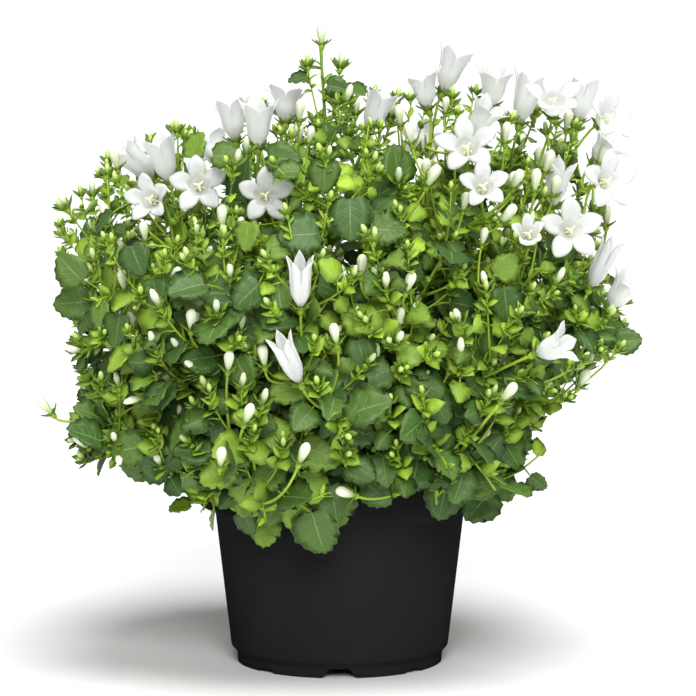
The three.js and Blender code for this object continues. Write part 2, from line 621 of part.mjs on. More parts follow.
function flowerSolid(flower) {
  const axis = vector(flower.face).normalize();
  const seat = along(vector(flower.seat), [axis, CALYX.crown + GAP]);
  const side = squareTo(axis, WISH);
  const other = axis.clone().cross(side);
  const { belly, rim, shoulder, tip, turn } = flowerForm(flower);
  const at = (turns, radius, height) => {
    const angle = 2 * Math.PI * turns;
    return along(seat, [side, radius * Math.cos(angle)], [other, radius * Math.sin(angle)], [axis, height]);
  };
  const lobes = Array.from({ length: BELL.lobes }, (_, k) => k);
  const around = (shift, radius, height) => lobes.map((k) => at((k + shift) / BELL.lobes, radius, height));
  const rows = {
    belly: around(0, belly.radius, belly.height),
    bellyInside: around(0, belly.radius - BELL.wall, belly.height),
    middle: around(0, rim.radius + BELL.ridge, rim.height),
    middleInside: around(0, rim.radius + BELL.ridge - BELL.wall, rim.height + BELL.ridgeInside),
    sinus: around(0.5, rim.radius, rim.height),
    left: around(-turn, shoulder.radius, shoulder.height),
    right: around(turn, shoulder.radius, shoulder.height),
    tip: around(0, tip.radius, tip.height),
    style: pistilRing(PISTIL.radius, PISTIL.floor),
    stigma: pistilRing(PISTIL.lobeRadius, rim.height * PISTIL.height),
    ends: [seat, along(seat, [axis, rim.height + PISTIL.tip])],
  };
  function pistilRing(radius, height) {
    return Array.from({ length: PISTIL.lobes }, (_, k) => at(k / PISTIL.lobes, radius, height));
  }
  let count = 0;
  const numbered = Object.entries(rows).map(([name, row]) => [name, row.map(() => count++)]);
  const number = Object.fromEntries(numbered);
  const [base, top] = number.ends;
  // One lobe of the skin from the belly up: the wall below it and the two halves of its blade.
  const skin = (low, middle) =>
    lobes.flatMap((k) => {
      const next = (k + 1) % BELL.lobes;
      const [sinus, lastSinus] = [number.sinus[k], number.sinus[(k + BELL.lobes - 1) % BELL.lobes]];
      const [left, right, point] = [number.left[k], number.right[k], number.tip[k]];
      return [
        [low[k], low[next], sinus],
        [low[k], sinus, middle[k]],
        [low[k], middle[k], lastSinus],
        [middle[k], sinus, right],
        [middle[k], right, point],
        [middle[k], point, left],
        [middle[k], left, lastSinus],
      ];
    });
  const faces = [
    ...band([base], number.belly),
    ...skin(number.belly, number.middle),
    ...skin(number.bellyInside, number.middleInside).map(([a, b, c]) => [a, c, b]),
    ...band(number.bellyInside, number.style),
    ...band(number.style, number.stigma),
    ...band(number.stigma, [top]),
  ];
  return solidOf(Object.values(rows).flat(), faces);
}

// Growing

// Every stem with its lines, and with the stalks of the flowers and buds that are nearest to it.
function grow() {
  const stems = STEMS.map((stem) => {
    const main = mainLine(stem);
    return { lines: [main, ...stem.shoots.map((tip) => shootLine(main, tip))], stalks: [], solids: [] };
  });
  const seats = [
    ...FLOWERS.map((flower) => ({ ...flower, scale: 1, bud: false })),
    ...BUDS.map((bud) => ({ ...bud, scale: BUD.calyxScale, bud: true })),
  ];
  seats.forEach(({ seat: place, face, scale, bud }) => {
    const [seat, axis] = [vector(place), vector(face).normalize()];
    const stalk = stalkLine(stems, seat, axis);
    stalk.stem.stalks.push(stalk);
    stalk.stem.solids.push(stalkSolid({ path: stalk.path, seat, axis, scale, bud }));
  });
  return stems;
}

// Whether every point lies nearer to a stem's own lines than to those of any other stem.
const BORDER = 1.2;
function isInOwnSpace(points, own, stems) {
  return points.every((point) => {
    const distanceTo = (stem) => nearest([...stem.lines, ...stem.stalks], point).distance;
    const home = distanceTo(own);
    return stems.every((stem) => stem === own || distanceTo(stem) > home + BORDER);
  });
}

// The round space that each open flower keeps free of leaves.
const FLOWER_BALL = { lift: 8, margin: 2.5 };
const flowerBalls = FLOWERS.map(({ seat, face, width }) => ({
  centre: along(vector(seat), [vector(face).normalize(), FLOWER_BALL.lift]),
  radius: width / 2 + FLOWER_BALL.margin,
}));

// How far the bush reaches at a height, to the left for a negative x and else to the right.
function reachAt(x, height) {
  const side = x < 0 ? "left" : "right";
  const above = OUTLINE.findIndex((row) => row.height > height);
  if (above < 1) return (above === 0 ? OUTLINE[0] : OUTLINE.at(-1))[side];
  const [low, high] = [OUTLINE[above - 1], OUTLINE[above]];
  const share = (height - low.height) / (high.height - low.height);
  return low[side] + (high[side] - low[side]) * share;
}

// Whether every point is clear of the pot's rim, the soil and the flowers, and inside the outline.
const CLEAR = { rimInside: 4, pot: 1.5, soil: 3 };
function isClear(points) {
  return points.every((p) => {
    const radius = Math.hypot(p.x, p.y);
    const overPot = radius < POT.rimRadius + CLEAR.pot;
    const inRim = overPot && p.z < POT.rimTop + CLEAR.pot && radius > POT.rimRadius - CLEAR.rimInside;
    const inSoil = overPot && p.z < SOIL.top + CLEAR.soil;
    const inFlower = flowerBalls.some(({ centre, radius: ball }) => centre.distanceTo(p) < ball);
    const isInside = Math.abs(p.x) < reachAt(p.x, p.z) && Math.abs(p.y) < DEPTH;
    return isInside && !inRim && !inSoil && !inFlower;
  });
}

// Leaves stand along each line at the golden angle, most of them on the outer side: full ones low down
// and young ones near the tip. One that has no room is turned round its stem, and left out if that
// doesn't help.
const WHORL = { share: 0.72, jitter: 0.3, lift: [-0.25, 0.2], turns: [0, 0.8, -0.8, 1.6, -1.6, 2.6] };
const MAIN_LEAVES = { spacing: 18, first: 0.42 };
const SHOOT_LEAVES = { spacing: 14, first: 0.4 };

function addLeaves(stems) {
  const kept = [];
  const hasRoom = ({ edge, middle, young, stem }) => {
    const blade = [...edge, middle];
    const apart = (other) => (young || other.young ? YOUNG_LEAF.clearance : LEAF.clearance);
    return (
      kept.every((other) => other.middle.distanceTo(middle) > apart(other)) &&
      isClear(blade) &&
      isInOwnSpace(blade, stem, stems)
    );
  };
  const tryLeaf = (stem, one, t, whorl) => {
    const young = t > YOUNG_LEAF.from;
    const scale = young ? draw(...YOUNG_LEAF.size) : draw(...LEAF.size) * (1 - LEAF.shrink * t * t);
    const [point, tangent] = [onPath(one, t), one.curve.getTangent(t)];
    const start = WHORL.share * (whorl - Math.PI) + draw(-WHORL.jitter, WHORL.jitter);
    const lift = draw(...WHORL.lift);
    const reach = draw(...LEAF.petiole);
    for (const turn of WHORL.turns) {
      const place = { ...leafPlace(point, tangent, start + turn, lift), reach };
      const { edge, middle } = young ? youngPoints(place, scale) : leafPoints(place, scale);
      if (hasRoom({ edge, middle, young, stem })) {
        kept.push({ middle, young });
        stem.solids.push(young ? youngSolid(place, scale) : leafSolid(place, scale));
        return;
      }
    }
  };
  stems.forEach((stem) => {
    stem.lines.forEach((one, rank) => {
      const { spacing, first } = rank === 0 ? MAIN_LEAVES : SHOOT_LEAVES;
      const count = Math.round((one.curve.getLength() * (1 - first)) / spacing);
      for (let k = 0; k < count; k++) {
        const t = first + ((1 - first) * (k + 0.4)) / count;
        tryLeaf(stem, one, t, (GOLDEN_ANGLE * (k + 2 * rank + 1)) % (2 * Math.PI));
      }
    });
  });
}

// The stem stands in its hole in the soil, and all that it carries is fused to it.
function stemSolid(stem) {
  const [main, ...shoots] = stem.lines;
  const foot = main.path[0].clone().setZ(SOIL.top - STEM.rootDepth);
  const bars = [
    bar([foot, ...main.path], STEM.radius, STEM.tipRadius, STEM.sides),
    ...shoots.map(({ path }) => bar(path, SHOOT.radius, SHOOT.tipRadius, SHOOT.sides)),
  ];
  return fuse([...bars, ...stem.solids]);
}

const finish = (color, roughness) => new THREE.MeshStandardMaterial({ color, roughness, metalness: 0 });
const plastic = finish(0x1b1b1c, 0.55);
const earth = finish(0x3b2a1e, 1);
const greens = [0x4f7f38, 0x6a9a3e, 0x5b8c3a, 0x7fae4a].map((color) => finish(color, 0.6));
const white = finish(0xf6f7f2, 0.5);

const plant = new THREE.Group();
const stems = grow();
addLeaves(stems);
plant.add(meshOf(potSolid(), "pot", plastic));
plant.add(meshOf(soilSolid(stems.map((stem) => stem.lines[0].path[0])), "soil", earth));
stems.forEach((stem, k) => {
  plant.add(meshOf(stemSolid(stem), `leafy_stem_${k + 1}`, greens[k % greens.length]));
});
FLOWERS.forEach((flower, k) => {
  plant.add(meshOf(flowerSolid(flower), `flower_${k + 1}`, white));
});

export default plant;
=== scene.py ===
"""The looks of a potted dalmatian bellflower in white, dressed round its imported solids.

Lengths are in millimetres until a mesh is made. +Z is up, the origin is the middle of the pot's foot, and
the photograph looks along +Y.
"""

from types import SimpleNamespace as Sizes

import bpy
import numpy as np
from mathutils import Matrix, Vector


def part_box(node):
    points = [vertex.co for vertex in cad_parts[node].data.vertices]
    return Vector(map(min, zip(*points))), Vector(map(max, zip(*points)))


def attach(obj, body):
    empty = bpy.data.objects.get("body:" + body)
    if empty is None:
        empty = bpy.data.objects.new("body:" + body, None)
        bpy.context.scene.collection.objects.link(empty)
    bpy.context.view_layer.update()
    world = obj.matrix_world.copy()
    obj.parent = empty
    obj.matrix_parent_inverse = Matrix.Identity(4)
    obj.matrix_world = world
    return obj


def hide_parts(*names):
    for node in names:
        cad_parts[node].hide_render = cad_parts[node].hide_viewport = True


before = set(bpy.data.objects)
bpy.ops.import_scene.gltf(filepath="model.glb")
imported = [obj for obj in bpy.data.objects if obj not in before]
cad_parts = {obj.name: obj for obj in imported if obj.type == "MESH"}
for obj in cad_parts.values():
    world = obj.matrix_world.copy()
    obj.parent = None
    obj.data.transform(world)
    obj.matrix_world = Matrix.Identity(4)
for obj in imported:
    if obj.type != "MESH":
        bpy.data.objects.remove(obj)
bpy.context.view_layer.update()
MM = 0.001

# The pot and its soil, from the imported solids
POT_HIGH = np.array(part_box("pot")[1]) / MM
SOIL_LOW, SOIL_HIGH = [np.array(corner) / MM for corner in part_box("soil")]
RIM_RADIUS = POT_HIGH[0]
RIM_TOP = POT_HIGH[2]
SOIL_TOP = 75
POT = Sizes(collar_bottom=68.2, ledge_drop=3, neck=53.2, belly=47.1, belly_height=13, heel=46.4,
            heel_height=7, foot=44, foot_height=4, wall=1.4, floor=1.8, ring=2.8, edge=0.3,
            corner=0.5, middle=1.0, sides=240)
NOTCH = Sizes(count=4, height=4, top=8, bottom=14, dip=1.3, dip_width=7, dip_foot=7.8, flare=0.6)
DRAIN = Sizes(count=6, radius=4, ring=27, sides=24, low=2, height=10)
SOIL = Sizes(sides=120, rows=44, middle=1.5, foot=44.7, wall=[(51.5, 66.6), (58.3, 70.6)], shoulder=73,
             over=0.8, wave=(1.1, 0.13, 0.11), noise=[(0.45, 0.5), (0.9, 0.4), (1.7, 0.3)])
CRUMB_PROFILE = [(0, -1), (0.75, -0.6), (1, 0.1), (0.6, 0.75), (0, 1)]
CRUMBS = Sizes(count=420, reach=56, size=(0.5, 1.7), height=(0.7, 1.4), sides=6, ridges=2, depth=0.2)

# The growth of the plant, as in its solids. DRAW holds the numbers behind the solids' random draws, and
# FACES the way a leaf's face looks, as shares of outward, up and the front
SAMPLES = 12
CHORDS = 200
GROWTH = Sizes(inner=0.2, spread=0.22, outward=0.45, rise=0.62, clear_rim=46, root_lift=2)
ARCH = Sizes(height=0.16, over_rim=2.2, below=2, lowest=3)
STALK = Sizes(back=9, sink=5, bend=0.45, steps=2, at_tip=3, moved_to=0.62)
LEAF = Sizes(length=19, width=18, petiole=(6, 15), fold=0.22, droop=2.4, size=(0.85, 1.08), shrink=0.22,
             clearance=12.5, own_space=1.2)
YOUNG = Sizes(length=11, width=6.4, fold=0.2, size=(0.9, 1.15), clearance=8, first=0.86, drawn_wider=1.5,
              droop=0.8)
LINE_LEAVES = [(18, 0.42), (14, 0.4)]
CALYX = Sizes(reach=5.9, rise=2.6, cup=2.6, crown=0.5, sepals=5, gap=0.3, sepal_width=8.0, bud_scale=0.85)
BUD = Sizes(length=9.5, radius=2.2)
TURN = Sizes(edge=110, petiole_rise=0.7, petiole_out=0.35, blade_out=0.6)
FACES = Sizes(large=(1, 0.75, 0.15), fine=(0.9, 0.5, 0.35), plain=(0.7, 0.6, 0.5))
WHORL = Sizes(share=0.72, jitter=0.3, lift=(-0.25, 0.2), turns=(0, 0.8, -0.8, 1.6, -1.6, 2.6))
DRAW = Sizes(seed=2024, factor=1664525, step=1013904223, cut=4294967296)
CLEAR = Sizes(rim=1.5, wall=4, soil=3)
GOLDEN_ANGLE = np.pi * (3 - np.sqrt(5))
UP = np.array([0.0, 0.0, 1.0])
FRONT = np.array([0.0, -1.0, 0.0])
# The direction that a piece's side is drawn towards, and a spare one for an axis that lies along a wish
WISH = np.array([0.9, 0.3, 0.3])
SPARE_WISH = np.array([0.3, 0.8, 0.5])

# The bush's outline: how far its leaves reach to the left and to the right at each height.
OUTLINE = [
    (56, 44, 24),
    (68, 72, 68),
    (80, 84, 76),
    (88, 112, 80),
    (108, 115, 90),
    (122, 114, 102),
    (136, 112, 124),
    (155, 117, 122),
    (180, 120, 115),
    (196, 116, 112),
    (216, 96, 110),
    (232, 62, 100),
    (242, 26, 66),
    (262, 22, 10),
]
DEPTH = 116

# Each leafy stem: its tip, its lean and the tips of its side shoots.
STEMS = [
    ((-8, -8, 262), 0.3, [(-16, -38, 214)]),
    ((-38, -20, 218), 0.4, [(-50, -50, 190)]),
    ((-74, -14, 200), 0.5, [(-74, -44, 182), (-84, 26, 200), (-80, -58, 158)]),
    ((-104, -20, 182), 0.6, [(-100, -52, 160)]),
    ((-112, -8, 146), 0.75, [(-106, -40, 138), (-108, 28, 140), (-96, 14, 96)]),
    ((-112, -30, 104), 0.95, [(-92, -60, 98)]),
    ((-94, -38, 90), 1.05, [(-68, -52, 82)]),
    ((-60, -82, 146), 0.8, [(-78, -70, 124), (-44, -84, 172)]),
    ((-18, -98, 138), 0.85, [(-14, -84, 172), (2, -104, 112)]),
    ((32, -88, 164), 0.75, [(46, -74, 186)]),
    ((66, -82, 142), 0.8, [(84, -66, 126)]),
    ((44, -90, 96), 1.0, [(40, -70, 78), (64, -70, 84)]),
    ((-48, -88, 96), 1.0, [(-30, -76, 72)]),
    ((92, -26, 112), 0.95, [(70, -36, 80), (76, 12, 88)]),
    ((116, -4, 138), 0.85, [(102, -36, 142), (104, 28, 138)]),
    ((84, -62, 176), 0.7, [(100, -36, 166)]),
    ((98, -22, 210), 0.55, [(104, -40, 192), (110, 4, 204)]),
    ((52, -48, 212), 0.5, [(62, -64, 194)]),
    ((54, 4, 224), 0.4, [(36, -14, 226), (76, 8, 212), (84, 30, 196)]),
    ((14, -2, 214), 0.3, [(26, -44, 204), (4, 30, 222), (2, -66, 196)]),
    ((-34, 40, 214), 0.45, [(-62, 34, 198), (-18, 64, 194), (-52, 66, 176), (-10, 58, 224)]),
    ((30, 46, 214), 0.45, [(58, 42, 200), (8, 72, 190), (46, 72, 180)]),
    ((-84, 52, 166), 0.65, [(-98, 50, 138), (-70, 76, 146), (-106, 30, 168)]),
    ((84, 54, 170), 0.65, [(98, 48, 150), (70, 76, 150), (108, 30, 174)]),
    ((0, 100, 152), 0.8, [(-28, 102, 130), (4, 84, 84), (32, 100, 124), (-14, 90, 168)]),
    ((-62, 84, 104), 0.95, [(-82, 44, 88), (-40, 96, 90)]),
    ((62, 84, 102), 0.95, [(72, 44, 88), (38, 96, 88)]),
]

# Each open flower: its seat on the stalk, the way it faces, its width and how far it is open.
FLOWERS = [
    ((-57, -44, 206), (-0.1, -1, 0.25), 25, 1),
    ((-31, -54, 204), (0.1, -1, 0.1), 24, 1),
    ((-75, -38, 200), (-0.35, -0.9, 0.2), 21, 0.8),
    ((-71, -20, 206), (-0.25, -0.1, 0.96), 19, 0.25),
    ((-78, 0, 206), (-0.72, 0.05, 0.68), 18, 0.35),
    ((-44, -2, 222), (-0.12, 0.05, 0.98), 19, 0.4),
    ((-34, -25, 221), (0.02, -0.15, 0.98), 19, 0.3),
    ((-23, 10, 229), (0.05, 0.2, 0.97), 21, 0.7),
    ((-15.5, -96, 162), (0, -0.35, 0.93), 13, 0.15),
    ((12, 5, 225), (0.35, 0, 0.93), 18, 0.35),
    ((37.5, -6, 236), (-0.2, -0.1, 0.95), 19, 0.6),
    ((43.5, 14, 242), (0.35, 0, 0.93), 19, 0.3),
    ((64.5, 8, 236), (0.1, -0.3, 0.94), 21, 0.4),
    ((53, -54, 220), (-0.1, -0.82, 0.56), 27, 1),
    ((55, -28, 227), (0.5, -0.3, 0.8), 19, 0.6),
    ((58, -72, 207), (0.05, -0.9, 0.35), 21, 0.9),
    ((75.5, -10, 230), (0.25, 0, 0.97), 17, 0.15),
    ((88, -36, 235), (0.05, -0.6, 0.8), 25, 0.75),
    ((101, 0, 230), (0.15, 0.1, 0.95), 18, 0.4),
    ((108, -22, 231), (0.5, -0.72, 0.4), 24, 0.9),
    ((107, -44, 208), (0.42, -0.86, 0.2), 26, 1),
    ((107, 4, 212), (0.6, -0.1, 0.7), 21, 0.8),
    ((77, -78, 187), (-0.05, -0.85, 0.45), 14, 0.75),
    ((94, -56, 189), (0.1, -0.95, 0.2), 27, 1),
    ((88, -36, 197), (0.2, -0.2, 0.95), 16, 0.3),
    ((113, -15, 153), (0.55, -0.3, 0.7), 19, 0.55),
    ((104, -40, 164), (0.4, -0.2, 0.85), 12, 0.1),
    ((79, -86, 142), (0.8, -0.35, 0.35), 19, 0.6),
    ((-15.5, -101, 132), (-0.35, -0.35, 0.8), 12, 0.1),
    ((-52, 58, 208), (-0.3, 0.7, 0.6), 23, 0.9),
    ((34, 66, 212), (0.2, 0.8, 0.5), 24, 0.9),
]

# The large pale buds: the seat of each on its stalk and the way it points.
BUDS = [
    ((-7.5, -8, 263.5), (0, 0, 1)),
    ((-89, -45, 164), (-0.15, -0.3, 0.9)),
    ((-69, -62, 168), (0.4, -0.5, 0.8)),
    ((-60, -86, 152), (0.05, -0.3, 0.95)),
    ((-48, -98, 98), (0.1, -0.4, 0.9)),
    ((-38, -100, 116), (0.3, -0.4, 0.85)),
    ((-30, -92, 138), (-0.1, -0.3, 0.95)),
    ((-45, -90, 136), (0.1, -0.4, 0.9)),
    ((-16, -102, 100), (0.35, -0.3, 0.9)),
    ((-1, -98, 148), (-0.15, -0.3, 0.95)),
    ((9, -84, 174), (0.05, -0.3, 0.95)),
    ((27, -90, 168), (0.3, -0.3, 0.9)),
    ((6, -84, 84), (-0.7, -0.5, 0.3)),
    ((66, -90, 124), (0.5, -0.4, 0.7)),
    ((-17, -12, 222), (0, -0.2, 1)),
    ((-93, -18, 212), (-0.2, -0.1, 1)),
    ((71, -62, 208), (0.35, -0.4, 0.8)),
    ((80, -58, 206), (0.1, -0.3, 0.95)),
    ((-96, -28, 190), (-0.3, -0.2, 0.9)),
    ((-120.5, -30, 110), (-0.6, -0.1, 0.7)),
    ((-104, -58, 100), (-0.5, -0.5, 0.6)),
    ((35, -52, 210), (0.1, -0.4, 0.9)),
    ((100, -34, 122), (0.4, -0.3, 0.8)),
    ((-112, 30, 144), (-0.5, 0.2, 0.8)),
    ((-96, 54, 146), (-0.4, 0.4, 0.8)),
    ((0, 108, 158), (0, 0.45, 0.85)),
    ((34, 104, 140), (0.2, 0.5, 0.8)),
    ((92, 58, 176), (0.3, 0.3, 0.9)),
    ((-36, 46, 220), (-0.1, 0.2, 1)),
    ((66, 88, 110), (0.3, 0.5, 0.8)),
    ((66, -76, 195), (0.55, -0.3, 0.75)),
    ((112, -18, 188), (0.05, -0.1, 1)),
    ((84, -24, 213), (-0.05, -0.2, 1)),
]

# The finer growth that only shows here: twigs, leaves and small buds that fill the bush to its outline.
DEPTHS = [(62, 66), (76, 82), (92, 94), (120, 102), (150, 105), (180, 101), (205, 92), (225, 74),
          (238, 50), (246, 22)]
SEEN_TILT = 0.123
FRONT_SHARE = 0.88
# Where the front of the bush hangs over the rim: how far to the left and right it reaches at a seen height.
HANGING = [
    (50, 32, -28),
    (60, 52, -4),
    (69, 66, 6),
    (78, 72, 50),
    (83, 108, 80),
]
# Twigs: the tries, the room round a tip and what the crown adds to it, how far in, low and high they grow,
# how they crowd outwards, how far they keep in and off the flowers in view, the longest one, its steps, where
# the crown begins, how far in and down a twig starts with what the crown adds, its bend, and its arch where
# it hangs over the rim
TWIGS = Sizes(tries=9000, spacing=12.4, airy=4.6, inmost=0.4, low=66, high=240, crowding=1.5, inset=2,
              off_flowers=2, longest=60, steps=4, crown=(175, 220), inward=(14, -8), down=(15, 13),
              bend=(0.62, 0.62, 0.34), hangs_below=12, arch=0.45)
# Twigs whose place is plain in the photograph: those of the tall shoot and the thin arching ones.
PLAIN_TWIGS = [
    (-13, -12, 253), (0, -8, 252), (5, -12, 238), (-16, -16, 240), (-114, -30, 176), (-112, -36, 196),
    (92, -50, 118), (86, -34, 96), (-66, -44, 76), (-104, -44, 92), (118, -12, 150),
]
# Leaves whose place is plain in the photograph: how far across and at what seen height the blade's
# middle lies, the heading of its tip in the view (0 is to the right, 90 up), its size, its age and its roll.
PLAIN_LEAVES = [
    (-67, 67.4, 190, 0.6, 0.3, 0.3), (-53, 62, 270, 0.55, 0.35, 0.8), (-38.5, 71.3, 260, 0.85, 0.42, 0),
    (-38.5, 61.5, 300, 0.7, 0.9, 0.6), (-27, 69, 250, 1.0, 0.85, 0), (-30.5, 58, 265, 0.85, 0.4, 0),
    (-2, 69.5, 280, 1.1, 0.6, 0), (15.5, 74.5, 320, 0.85, 0.65, 0.3), (39.5, 96, 290, 1.15, 0.85, 0),
    (32.5, 86.5, 260, 1.1, 0.8, 0), (43, 72, 250, 1.1, 0.65, 0.2), (58, 78, 300, 0.9, 0.6, -0.3),
    (71, 91, 300, 1.05, 0.8, 0), (69, 75.5, 262, 0.8, 1, 1.25), (83.5, 77, 310, 0.55, 1, 1.4),
    (-20, 118, 200, 1.0, 0.42, 0), (2, 116, 260, 1.15, 0.65, 0), (15, 123, 200, 0.85, 0.7, 0),
    (9, 131.5, 280, 0.85, 0.8, 0.2), (29, 131, 0, 0.7, 0.35, 0), (35, 119, 340, 1.0, 0.8, 0),
    (40, 110, 300, 0.9, 0.8, 0.2), (-8, 91, 340, 1.1, 0.45, 0), (-18, 89.5, 250, 0.75, 0.7, 0.3),
    (-12, 77.5, 300, 0.9, 0.35, 0), (-29, 81, 240, 0.85, 0.5, 0), (-39, 75.5, 280, 0.8, 0.4, 0),
    (7, 100.5, 340, 1.0, 0.9, 0), (-59.5, 218, 60, 0.75, 0.42, 0), (-46, 213.5, 0, 0.8, 0.8, 0),
    (-23, 212, 0, 0.85, 0.9, 0.2), (-37.5, 180, 265, 0.75, 0.45, 0.2), (-24.5, 174.5, 0, 0.7, 0.45, 0),
    (-15.5, 180.5, 180, 1.1, 0.9, 0), (-6, 205, 270, 0.85, 0.6, 0), (-21, 206.5, 180, 0.7, 0.6, 0.4),
    (-60, 156, 180, 1.0, 0.95, 0), (-47.5, 156.5, 0, 0.95, 0.9, 0), (-37, 156, 225, 0.95, 0.7, 0),
    (-91.5, 142, 270, 0.9, 0.6, 0), (-99, 148, 270, 0.75, 0.5, 0), (-111, 153.5, 180, 1.0, 0.95, -0.3),
    (-97, 186.5, 240, 0.7, 0.9, 0.4), (-83, 170.5, 300, 0.85, 0.7, 0), (-75, 157, 290, 0.75, 0.6, 0),
    (-106, 144, 250, 0.7, 0.6, 0.3), (4.5, 187, 270, 1.1, 0.9, 0), (19.5, 182.5, 0, 0.9, 0.8, 0),
    (68, 167.5, 60, 0.75, 0.4, 0), (68, 152.5, 270, 0.9, 0.9, 0), (-17, 248, 190, 0.55, 0.8, 0.4),
    (-1, 244, 350, 0.6, 0.75, 0.3), (121, 137, 15, 0.7, 0.6, 0.4), (-104, 99, 200, 0.8, 0.6, 0),
    (-99, 86, 250, 0.7, 0.9, 0.5),
]
# Large pale buds whose place is plain in the photograph, beside those of the solids: how far across and at
# what seen height each sits, how far it leans to the right, and its size.
PLAIN_BUDS = [
    (37, 200, 0.5, 1.0), (73, 197, 0.1, 1.0), (91, 197, 0.2, 0.9), (87.5, 207, 0.3, 1.0),
    (98, 226, 0.1, 0.85), (30.5, 218, -0.2, 0.9), (26, 226, -0.1, 0.9), (45, 232, 0.1, 0.7),
    (70.5, 219, 0.1, 0.9),
    (-17, 228, 0.1, 0.95), (-13, 218, 0.2, 0.75), (12.5, 140, 0.1, 0.8), (25, 142, 0.1, 0.85),
    (16, 156, 0.1, 0.75), (4.5, 157, -0.2, 0.85), (31, 145, 0.2, 0.75), (-50, 145, 0, 0.7),
    (16, 128, -0.1, 0.8), (46, 124, 0.4, 0.8), (-13.5, 99, 0.4, 0.75), (-59.5, 142, -0.1, 0.95),
    (-41, 141, 0.1, 0.7), (-24.5, 132, 0.1, 0.7), (60, 176, 0.2, 0.75), (100, 178, 0.1, 0.8),
    (-82, 178, -0.1, 0.85), (-60, 180, 0, 0.6), (-49, 183, 0, 0.95), (-41.5, 181, 0.1, 0.65),
    (52, 190, 0.2, 0.8), (112, 212, 0.3, 0.8), (-96, 171, -0.2, 0.7), (-89, 166, 0.1, 0.7),
]
# Clumps of fresh, lime-green sprigs: how far across and at what seen height each lies, and its radius.
FRESH_CLUMPS = [
    (10, 153, 21), (67, 162, 14), (-22, 178, 13), (-96, 111, 15), (-34, 103, 14), (-28, 84, 14),
    (24, 207, 19), (-8, 204, 12), (45, 134, 10), (86, 115, 11), (-92, 150, 13), (-66, 172, 12),
    (-104, 184, 16), (84, 205, 16), (-42, 214, 14), (56, 186, 12), (108, 142, 10), (40, 92, 10),
    (-62, 132, 10),
]
SIZE_BY_HEIGHT = [(60, 1.05), (110, 0.98), (145, 0.84), (175, 0.66), (200, 0.55), (225, 0.48), (250, 0.4)]
# Fine leaves: spacing, first and last place along a stem or shoot, and along a twig; the least size and what
# luck adds; how much smaller they end; the luck in turn and lift; the petiole; the room round a blade, at
# least, by its size and high up; how far they keep off the outline high up; the heights between which these
# two grow; the luck in age; how much younger a fresh clump is; and the size of the first full form
FINE = Sizes(on_lines=(7, 0.1, 0.9), on_twigs=(5.2, 0.1, 0.74), size=(0.46, 0.54), shrink=0.4, turn=0.5,
             lift=(-0.5, 0.3), petiole=(3, 10), room=(3.2, 4.4, 2.2), airy_from=(125, 165), keep_off=8,
             sprigs_from=(115, 160), age=(0.75, 1.1), fresh=0.42, large=0.66)
# Young leaves round a tip, narrow ones first: where the first stands, the step to the next, how far they lean
# along the shoot, their breadth, and their ranges of size and age
NARROW, ROUND_TIP = 3, 6
BRACTS = dict(narrow=(0.98, 0.06, 0.7, 0.85, (0.38, 0.62), (0, 0.2)),
              broad=(0.93, 0.03, 0.2, 1.55, (0.62, 1.0), (0.05, 0.36)))
# Small buds: the step down the twig, how far over the rim they begin, the stalk at the tip and below it, the
# share of pale ones, how ripe both kinds are, and the size with what luck adds
BUDDING = Sizes(step=0.14, over_rim=4, at_tip=1.5, stalk=(4, 8), pale_share=0.15, green=(0, 0.4),
                pale=(0.6, 0.95), size=(0.5, 0.38), luck=0.15)
# Plain places: a leaf's size beside the view's, how far it leans out, the share of it before its middle and
# the way to its foot; how far a bud stands in, its lean to the front and how far down its stalk starts
PLAIN = Sizes(size=0.86, lean_out=0.25, middle=0.45, foot=(5, 3), bud_in=(0.97, 0.94, 1), bud_lean=-0.25,
              bud_root=15)
ROLL = 0.3
chance = np.random.default_rng(41)


# Vectors and curves


def unit(vectors):
    """Vectors scaled to length 1."""
    return vectors / np.linalg.norm(vectors, axis=-1, keepdims=True)


def square_to(axis, wish):
    """The unit vector square to the axis that is nearest to the wish: the wish less its share along the
    axis."""
    side = wish - axis * (wish @ axis)
    return unit(side) if side @ side > 1e-6 else square_to(axis, SPARE_WISH)


def turned_about(axis, vector, angle):
    """A vector square to an axis, turned about it: vector cos + (axis x vector) sin."""
    return vector * np.cos(angle) + np.cross(axis, vector) * np.sin(angle)


def spokes(side, other, angle):
    """Unit vectors at angles in the plane of two sides: side cos + other sin."""
    return side[..., None, :] * np.cos(angle)[..., None] + other[..., None, :] * np.sin(angle)[..., None]


def turns(count, first=0.0):
    """Angles that share a full turn evenly, the first one at a share of a step."""
    return 2 * np.pi * (np.arange(count) + first) / count


def bezier(ends, t):
    """Points of quadratic curves: (1 - t)^2 start + 2 t (1 - t) control + t^2 end."""
    t = np.asarray(t, float)[:, None]
    start, control, end = (ends[..., k, None, :] for k in range(3))
    return (1 - t) ** 2 * start + 2 * t * (1 - t) * control + t**2 * end


def slope(ends, t):
    """Unit tangents of quadratic curves: 2 (1 - t) (control - start) + 2 t (end - control), scaled to 1."""
    t = np.asarray(t, float)[:, None]
    start, control, end = (ends[..., k, None, :] for k in range(3))
    return unit((1 - t) * (control - start) + t * (end - control))


